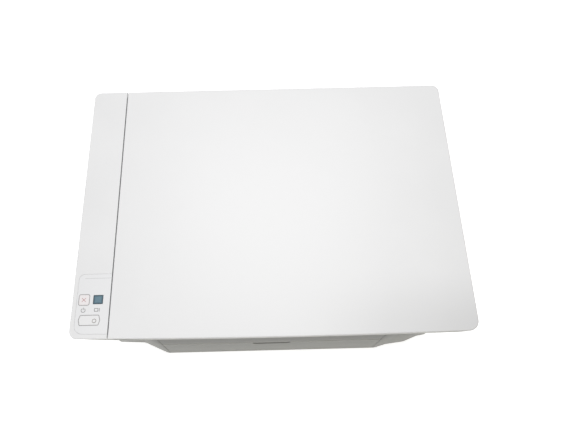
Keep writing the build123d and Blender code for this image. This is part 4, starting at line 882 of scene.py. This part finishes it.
@dataclass
class Casings(SubAssembly):
    """The grey outer shells of the body; the scanner housing is painted a darker grey for the shade under the
    lid, with a lip at its front painted lighter to offset that shade.

    Attributes:
        bow: How far the tops' front edge stands back at its left end.
        skew: How much less it stands back at its right end.
        lip_drop: The lip's top and foot below the edge.
        lip_root: How far behind the edge the lip begins, inside the wall.
        lip_places: X of the places where the lip's reach is given.
        lip_reaches: How far it stands before the edge there, in millimetres.
    """

    parts: tuple[str, ...] = ("base_case", "mid_case", "scanner_housing")
    bow: float = 3.0 * MM
    skew: float = 1.4 * MM
    lip_drop: Span = (0.6 * MM, 3.4 * MM)
    lip_root: float = 3.3 * MM
    lip_places: Row = (-0.203, -0.194, -0.180, -0.165, -0.158, -0.120, 0.0, 0.150, 0.192, 0.203)
    lip_reaches: Row = (-2.6, -2.1, -1.8, -1.45, -1.35, -1.9, -2.1, -2.1, -1.75, -2.0)
    lip_stations: int = 241

    def own_finishes(self) -> Mapping[str, Any]:
        """The housing's and the middle case's greys, painted darker for the shade under the lid."""
        return {"scanner_housing": grained("housing_grey", (0.15, 0.15, 0.14), 0.5),
                "mid_case": grained("middle_grey", UPPER_SHADED_GREY, 0.52, fades=(UPPER_PAINTED_SHADE,))}

    def pieces(self) -> Iterable[Object]:
        """A lip under the tops' front edge, a four-sided section carried along it.

        The edge is the parabola y = front + a x^2 + b x that meets both ends' setbacks; the lip's face stands
        before it by the reach, which is read between the given places.
        """
        low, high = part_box("lid_cover")
        a, b = (self.bow - self.skew / 2) / high.x**2, -self.skew / (2 * high.x)
        x = np.linspace(self.lip_places[0], self.lip_places[-1], self.lip_stations)
        edge = low.y + a * x**2 + b * x
        face = edge - np.interp(x, self.lip_places, self.lip_reaches) * MM
        root = edge + self.lip_root
        top, foot = (low.z - drop for drop in self.lip_drop)
        section = ((root, foot), (root, top), (face, top), (face, foot))
        lines = [level_loop(np.column_stack([x, y]), z) for y, z in section]
        lip = make_object("front_lip", *capped(np.stack(lines, axis=1)))
        # The lip's grey is painted lighter than the housing's, to offset the shade under the lid's edge.
        lip.data.materials.append(grained("lip_grey", (0.42, 0.42, 0.40), 0.55, 0.06, 0.5).build())
        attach(lip, "printer_body")
        yield lip


@dataclass
class ScannerLid(SubAssembly):
    """The white lid with its liner and pad, and soft bumpers that it rests on."""

    parts: tuple[str, ...] = ("lid_cover", "lid_liner", "lid_pad")
    bumper_radius: float = 4.0 * MM
    bumper_height: float = 0.42 * MM
    bumper_side: float = 11.0 * MM
    bumper_front: float = 17.6 * MM
    bumper_back: float = 7.7 * MM
    shade_corner_reach: float = 75.0 * MM

    def own_finishes(self) -> Mapping[str, Any]:
        """The cover's white, with painted shade towards its right front corner."""
        low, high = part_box("lid_cover")
        # Painted shade darkening the cover towards its right front corner.
        corner = PaintedShade(((0, 0.0, high.x), (1, low.y + self.shade_corner_reach, low.y)), 0.15)
        return {"lid_cover": edged_white("lid_cover", -1, corner)}

    def pieces(self) -> Iterable[Object]:
        """Four bumpers on the liner's corners."""
        low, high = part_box("lid_liner")
        centres = np.array([[x, y, low.z] for x in (low.x + self.bumper_side, high.x - self.bumper_side)
                            for y in (low.y + self.bumper_front, high.y - self.bumper_back)])
        points, faces = domes(centres, self.bumper_radius, self.bumper_height)
        pads = make_object("lid_bumpers", points, faces, smooth=True)
        pads.data.materials.append(Rubber("bumper_rubber", (0.3, 0.3, 0.3)).build())
        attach(pads, "lid")
        yield pads


def edged_white(node: str, side: int, *fades: PaintedShade) -> Moulded:
    """The white of the tops, with painted shade on its edge except by the seam, and a fine painted shadow line
    just above its foot.

    Args:
        node: The node that wears it.
        side: Where its seam is: -1 at its left end, 1 at its right.
        fades: Further painted shade.

    Returns:
        The finish.
    """
    low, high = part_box(node)
    start, whole = ((low.x, high.x)[side > 0] - side * distance for distance in SEAM_SHADE_RAMP)
    # Painted shade on the edge; the parting at the foot below is a painted shadow line.
    edge = PaintedShade(((0, start, whole), (2, high.z - EDGE_SHADE_RAMP[0], high.z - EDGE_SHADE_RAMP[1])), 0.38)
    return Moulded(f"{node}_white", *GLOSSY_WHITE, partings=(low.z + FOOT_SHADOW_LINE,), fades=(edge, *fades))


@dataclass
class ControlStrip(SubAssembly):
    """The strip beside the lid: panel, buttons, display and the marks printed on them."""

    parts: tuple[str, ...] = ("control_strip", "control_panel", "cancel_button", "start_button", "lcd_window",
                              "control_board")
    line: float = 0.6 * MM
    cross_arm: float = 2.9 * MM
    cross_bar: float = 0.55 * MM
    cross_place: Span = (-0.35 * MM, 0.0)
    ring_radius: float = 1.95 * MM
    ring_place: Span = (5.35 * MM, -0.8 * MM)
    glyph_radius: float = 2.1 * MM
    glyph_lift: float = -0.1 * MM
    glyph_bar: Span = (0.6 * MM, 2.7 * MM)
    page_half: Span = (2.15 * MM, 1.8 * MM)
    page_place: Span = (4.0 * MM, 0.2 * MM)
    page_corner: float = 0.5 * MM
    page_bar: Span = (1.1 * MM, 1.7 * MM)
    bezel: float = 0.55 * MM
    rim: float = 0.45 * MM
    gap: float = 0.25 * MM
    flange: float = 1.0 * MM
    cap_corner: float = 1.6 * MM
    cap_point: Span = (1.4 * MM, 0.8 * MM)
    rule_back: float = 4.6 * MM
    rule_ends: Span = (6.5 * MM, 0.5 * MM)
    rule_line: float = 0.35 * MM

    def own_finishes(self) -> Mapping[str, Any]:
        """The strip's white, as the lid's, and a plain white on the start button."""
        return {"control_strip": edged_white("control_strip", 1),
                "start_button": Moulded("start_white", (0.81, 0.81, 0.815), 0.38, 0.3, 0.008, 0.01, 0.5)}

    def prints_on(self, node: str) -> Inlays:
        """An empty collection of prints on a node's top."""
        return inked(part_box(node)[1].z)

    def cancel_mark(self) -> Object:
        """Two crossed bars at 45 degrees: twelve points, a plus sign turned by an eighth of a turn."""
        a, b = self.cross_arm, self.cross_bar / 2
        plus = np.array([(a, -b), (a, b), (b, b), (b, a), (-b, a), (-b, b), (-a, b), (-a, -b), (-b, -b),
                         (-b, -a), (b, -a), (b, -b)])
        turn = math.sqrt(0.5) * np.array([[1, 1], [-1, 1]])
        prints = self.prints_on("cancel_button")
        prints.plate(plus @ turn + middle("cancel_button")[0] + self.cross_place)
        ink = Print("mark_red", (0.50, 0.27, 0.27)).build()
        return prints.finish("cancel_mark", ink, Slot.BUTTON_FACE, "cancel_key")

    def start_mark(self) -> Object:
        """A ring, open for a short arc at its left."""
        prints = self.prints_on("start_button")
        arc = circle(self.ring_radius, 72, math.radians(195), math.radians(335))
        prints.stroke(middle("start_button")[0] + self.ring_place + arc, self.line)
        ink = Print("mark_brown", (0.27, 0.245, 0.225)).build()
        return prints.finish("start_mark", ink, Slot.BUTTON_FACE, "start_key")

    def lamp_marks(self) -> Object:
        """Left: an open ring with a bar in its gap. Right: an outlined sheet with an upright bar beside it."""
        cancel, cancel_half = middle("cancel_button")
        start, start_half = middle("start_button")
        window, window_half = middle("lcd_window")
        between = (cancel[1] - cancel_half[1] + start[1] + start_half[1]) / 2
        prints = self.prints_on("control_panel")
        power = np.array([cancel[0], between + self.glyph_lift])
        prints.stroke(power + circle(self.glyph_radius, 48, math.radians(125), math.radians(290)), self.line)
        prints.stroke(power + np.linspace([0, self.glyph_bar[0]], [0, self.glyph_bar[1]], 6), self.line)
        page = np.array([window[0] - window_half[0], between]) + self.page_place
        edge = rounded_box(np.array(self.page_half), self.page_corner)
        prints.ring(page + edge, page + grown(edge, -self.line))
        aside, half = self.page_bar
        bar = page + np.array([self.page_half[0] + aside, 0.0])
        prints.stroke(bar + np.linspace([0, -half], [0, half], 6), self.line)
        return prints.finish("lamp_marks", Print("lamp_grey", (0.25, 0.25, 0.25)).build(), Slot.PANEL_INLAY)

    def button_rims(self) -> Object:
        """A grey line printed on the panel round each button, just outside the button's gap."""
        prints = self.prints_on("control_panel")
        cancel, cancel_half = middle("cancel_button")
        start, start_half = middle("start_button")
        for cap in (cancel + rounded_box(cancel_half - self.flange, self.cap_corner),
                    start + pointed_bar(start_half - self.flange, *self.cap_point)):
            prints.ring(grown(cap, self.gap + self.rim), grown(cap, self.gap))
        return prints.finish("button_rims", Print("rim_grey", (0.44, 0.43, 0.43)).build(), Slot.PANEL_INLAY)

    def panel_rule(self) -> Object:
        """A faint straight line across the panel, a little before its rear edge."""
        low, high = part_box("control_panel")
        y = high.y - self.rule_back
        prints = self.prints_on("control_panel")
        prints.stroke(np.linspace([low.x + self.rule_ends[0], y], [high.x - self.rule_ends[1], y], 8),
                      self.rule_line)
        return prints.finish("panel_rule", Print("rule_grey", (0.55, 0.55, 0.55)).build(), Slot.PANEL_INLAY)

    def display_frame(self) -> Object:
        """A dark printed border on the edge of the display window."""
        centre, half = middle("lcd_window")
        prints = self.prints_on("lcd_window")
        prints.ring(centre + rounded_box(half, 0.8 * MM), centre + rounded_box(half - self.bezel, 0.4 * MM))
        ink = Print("frame_dark", (0.035, 0.06, 0.08)).build()
        return prints.finish("display_frame", ink, Slot.DISPLAY_GLASS)

    def pieces(self) -> Iterable[Object]:
        """All printed marks."""
        yield from (self.cancel_mark(), self.start_mark(), self.lamp_marks(), self.button_rims(),
                    self.panel_rule(), self.display_frame())


@dataclass
class Scanner(SubAssembly):
    """Glass and scan bar, with the marks on the deck that show where a sheet goes."""

    parts: tuple[str, ...] = ("platen_glass", "scan_bar")
    lap: float = 2.0 * MM
    gap: float = 0.6 * MM
    tick: float = 3.0 * MM
    tick_line: float = 0.45 * MM
    along: Row = (0.148, 0.182, 0.210, 0.257, 0.2794)
    across: Row = (0.105, 0.148, 0.182, 0.210)
    arrow: tuple[Span, ...] = ((1.2, -1.2), (2.8, -5.8), (5.8, -2.8))

    def pieces(self) -> Iterable[Object]:
        """Ticks at the common sheet sizes from the front right corner, and an arrow head that points at it."""
        low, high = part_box("platen_glass")
        right, front, left = high.x - self.lap, low.y + self.lap, low.x + self.lap
        prints = inked(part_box("control_strip")[0].z)
        ticks = [((right - size, front - self.gap), (0.0, -self.tick)) for size in self.along
                 if right - size > left]
        ticks += [((right + self.gap, front + size), (self.tick, 0.0)) for size in self.across]
        for start, way in ticks:
            prints.stroke(start + np.linspace((0.0, 0.0), way, 5), self.tick_line)
        prints.plate(np.array([right, front]) + np.array(self.arrow) * MM)
        yield prints.finish("sheet_marks", Print("deck_ink", (0.62, 0.62, 0.6)).build(), Slot.GREY_SHELL)


@dataclass
class FrontPanels(SubAssembly):
    """The tray in its own grey and the door in the middle case's darker copy of it, painted for the shade
    under the lid.
    """

    parts: tuple[str, ...] = ("output_tray", "cartridge_door")

    def own_finishes(self) -> Mapping[str, Any]:
        """The door's shaded grey, and the tray's, which has painted light on its upper edge and in its finger
        scoop and no parting line; both have painted shade, darker towards their tops.
        """
        low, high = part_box("output_tray")
        # Painted shade on both, and painted light on the tray's edge and scoop.
        return {"cartridge_door": grained("door_grey", UPPER_SHADED_GREY, 0.52, edge=0.4, fades=(UPPER_PAINTED_SHADE,)),
                "output_tray": grained("tray_grey", GREY, 0.55, 0.3, fades=(LOWER_PAINTED_SHADE,),
                                       nosing=PaintedGapLight(high.z, low.y, TRAY_SCOOP))}


@dataclass
class RearSupport(SubAssembly):
    """The sheet support at the back, with shallow stiffening ribs on its outer face."""

    parts: tuple[str, ...] = ("paper_support", "paper_support_extension", "paper_width_guide")
    ribs: int = 7
    rib_width: float = 2.4 * MM
    rib_height: float = 0.7 * MM
    rib_root: float = 0.05 * MM
    side: float = 28.0 * MM
    foot: float = 19.6 * MM
    head: float = 14.0 * MM

    def pieces(self) -> Iterable[Object]:
        """Upright ribs with round ends, evenly spaced."""
        low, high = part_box("paper_support")
        ribs = Inlays(high.y - self.rib_root, high.y + self.rib_height, REARWARD)
        for x in np.linspace(low.x + self.side, high.x - self.side, self.ribs):
            ribs.stroke(np.linspace([-x, low.z + self.foot], [-x, high.z - self.head], 12), self.rib_width)
        yield ribs.finish("support_ribs", self.palette.of(Slot.GREY_SHELL), Slot.GREY_SHELL, "support")


@dataclass
class Remainder(SubAssembly):
    """Every other CAD node."""


# ------------ studio


@dataclass(frozen=True)
class Lamp:
    """A square area light of a side and watts; mirrored says whether glossy surfaces reflect it."""

    name: str
    place: Place
    aim: Place
    size: float
    power: float
    colour: Colour = (1.0, 1.0, 1.0)
    mirrored: bool = True

    def build(self) -> None:
        """Adds the light to the scene."""
        data = bpy.data.lights.new(self.name, "AREA")
        data.shape, data.size, data.energy, data.color = "SQUARE", self.size, self.power, self.colour
        holder = linked(self.name, data)
        holder.location = self.place
        holder.rotation_euler = (Vector(self.aim) - Vector(self.place)).to_track_quat("-Z", "Y").to_euler()
        holder.visible_glossy = self.mirrored


@dataclass
class Studio:
    """Pale floor, soft lights and the camera."""

    floor_half: float = 40.0
    floor_cells: int = 8
    camera_place: Place = (-0.010612, -0.257098, 0.70938)
    camera_turn: Place = (22.2614, 0.2943, -1.3878)
    camera_clip: Span = (0.01, 150.0)
    lens: float = 34.077
    shift: Span = (0.03941, 0.00622)
    room_light: float = 0.42
    lamps: tuple[Lamp, ...] = (
        Lamp("key", (0.05, 0.66, 1.9), (0.0, 0.0, 0.1), 1.1, 20.0),
        Lamp("fill", (-1.0, -1.2, 0.75), (-0.1, -0.1, 0.08), 1.0, 7.5),
        Lamp("bounce", (0.9, -0.9, 0.3), (0.12, -0.15, 0.05), 0.5, 1.3, (1.0, 0.85, 0.35), False),
    )

    def floor(self) -> None:
        """A level square sheet under the object, nearly white, a little luminous so that it stays clean."""
        n = self.floor_cells + 1
        side = np.linspace(-self.floor_half, self.floor_half, n)
        x, y = (grid.ravel() for grid in np.meshgrid(side, side, indexing="ij"))
        first = np.arange(n * n).reshape(n, n)[:-1, :-1].ravel()
        quads = np.stack([first, first + n, first + n + 1, first + 1], axis=1)
        sheet = make_object("floor", np.column_stack([x, y, 0 * x]), quads.tolist())
        shade = Shade("floor_paper")
        paper = shade.noise(4 * MM, 2.0)
        sheet.data.materials.append(shade.finish(
            Base_Color=shade.mix(paper.ramp(0.3, 0.7), (0.93, 0.93, 0.93), (0.95, 0.95, 0.95)),
            Roughness=0.9, Emission_Color=(1.0, 1.0, 1.0), Emission_Strength=0.6))
        sheet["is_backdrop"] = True

    def world(self) -> None:
        """Even pale light from everywhere, seen directly as white as the floor is."""
        world = bpy.data.worlds.new("soft_room")
        world.use_nodes = True
        tree = world.node_tree
        power = tree.nodes.new("ShaderNodeMath")
        power.operation = "MAXIMUM"
        power.inputs[1].default_value = self.room_light
        back = tree.nodes["Background"]
        back.inputs["Color"].default_value = (1.0, 1.0, 1.0, 1.0)
        tree.links.new(tree.nodes.new("ShaderNodeLightPath").outputs["Is Camera Ray"], power.inputs[0])
        tree.links.new(power.outputs[0], back.inputs["Strength"])
        bpy.context.scene.world = world

    def camera(self) -> None:
        """The camera, looking down on the object from just before its front."""
        data = bpy.data.cameras.new("camera")
        data.sensor_fit, data.sensor_width, data.lens = "HORIZONTAL", 36.0, self.lens
        data.shift_x, data.shift_y = self.shift
        data.clip_start, data.clip_end = self.camera_clip
        holder = linked("camera", data)
        holder.location = self.camera_place
        holder.rotation_euler = Euler([math.radians(a) for a in self.camera_turn], "XYZ")
        bpy.context.scene.camera = holder

    def build(self) -> None:
        """Sets up the whole studio."""
        self.floor()
        for lamp in self.lamps:
            lamp.build()
        self.world()
        self.camera()
        bpy.context.scene.view_settings.view_transform = "Standard"
        bpy.context.scene.view_settings.look = "None"


def corners() -> list[list[float]]:
    """The whole object's box as plain lists."""
    return [list(corner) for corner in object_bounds()]


def main(frame: Mapping[str, Any]) -> None:
    """Builds the studio and every sub-assembly in order.
    """
    logging.basicConfig(level=logging.INFO, format="%(message)s")
    nodes = frame["nodes"]
    slots = {entry["node"]: Slot(entry["material_slot"]) for entry in frame["record"]["subparts"]}
    palette = Palette(finishes(), slots)
    Studio().build()
    kinds = (Casings, ScannerLid, ControlStrip, Scanner, FrontPanels, RearSupport)
    groups = [kind(nodes, palette) for kind in kinds]
    named = {name for group in groups for name in group.parts}
    groups.append(Remainder(nodes, palette, tuple(sorted(set(nodes) - named))))
    for group in groups:
        group.build()


if __name__ == "__main__":
    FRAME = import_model()
    main(FRAME)
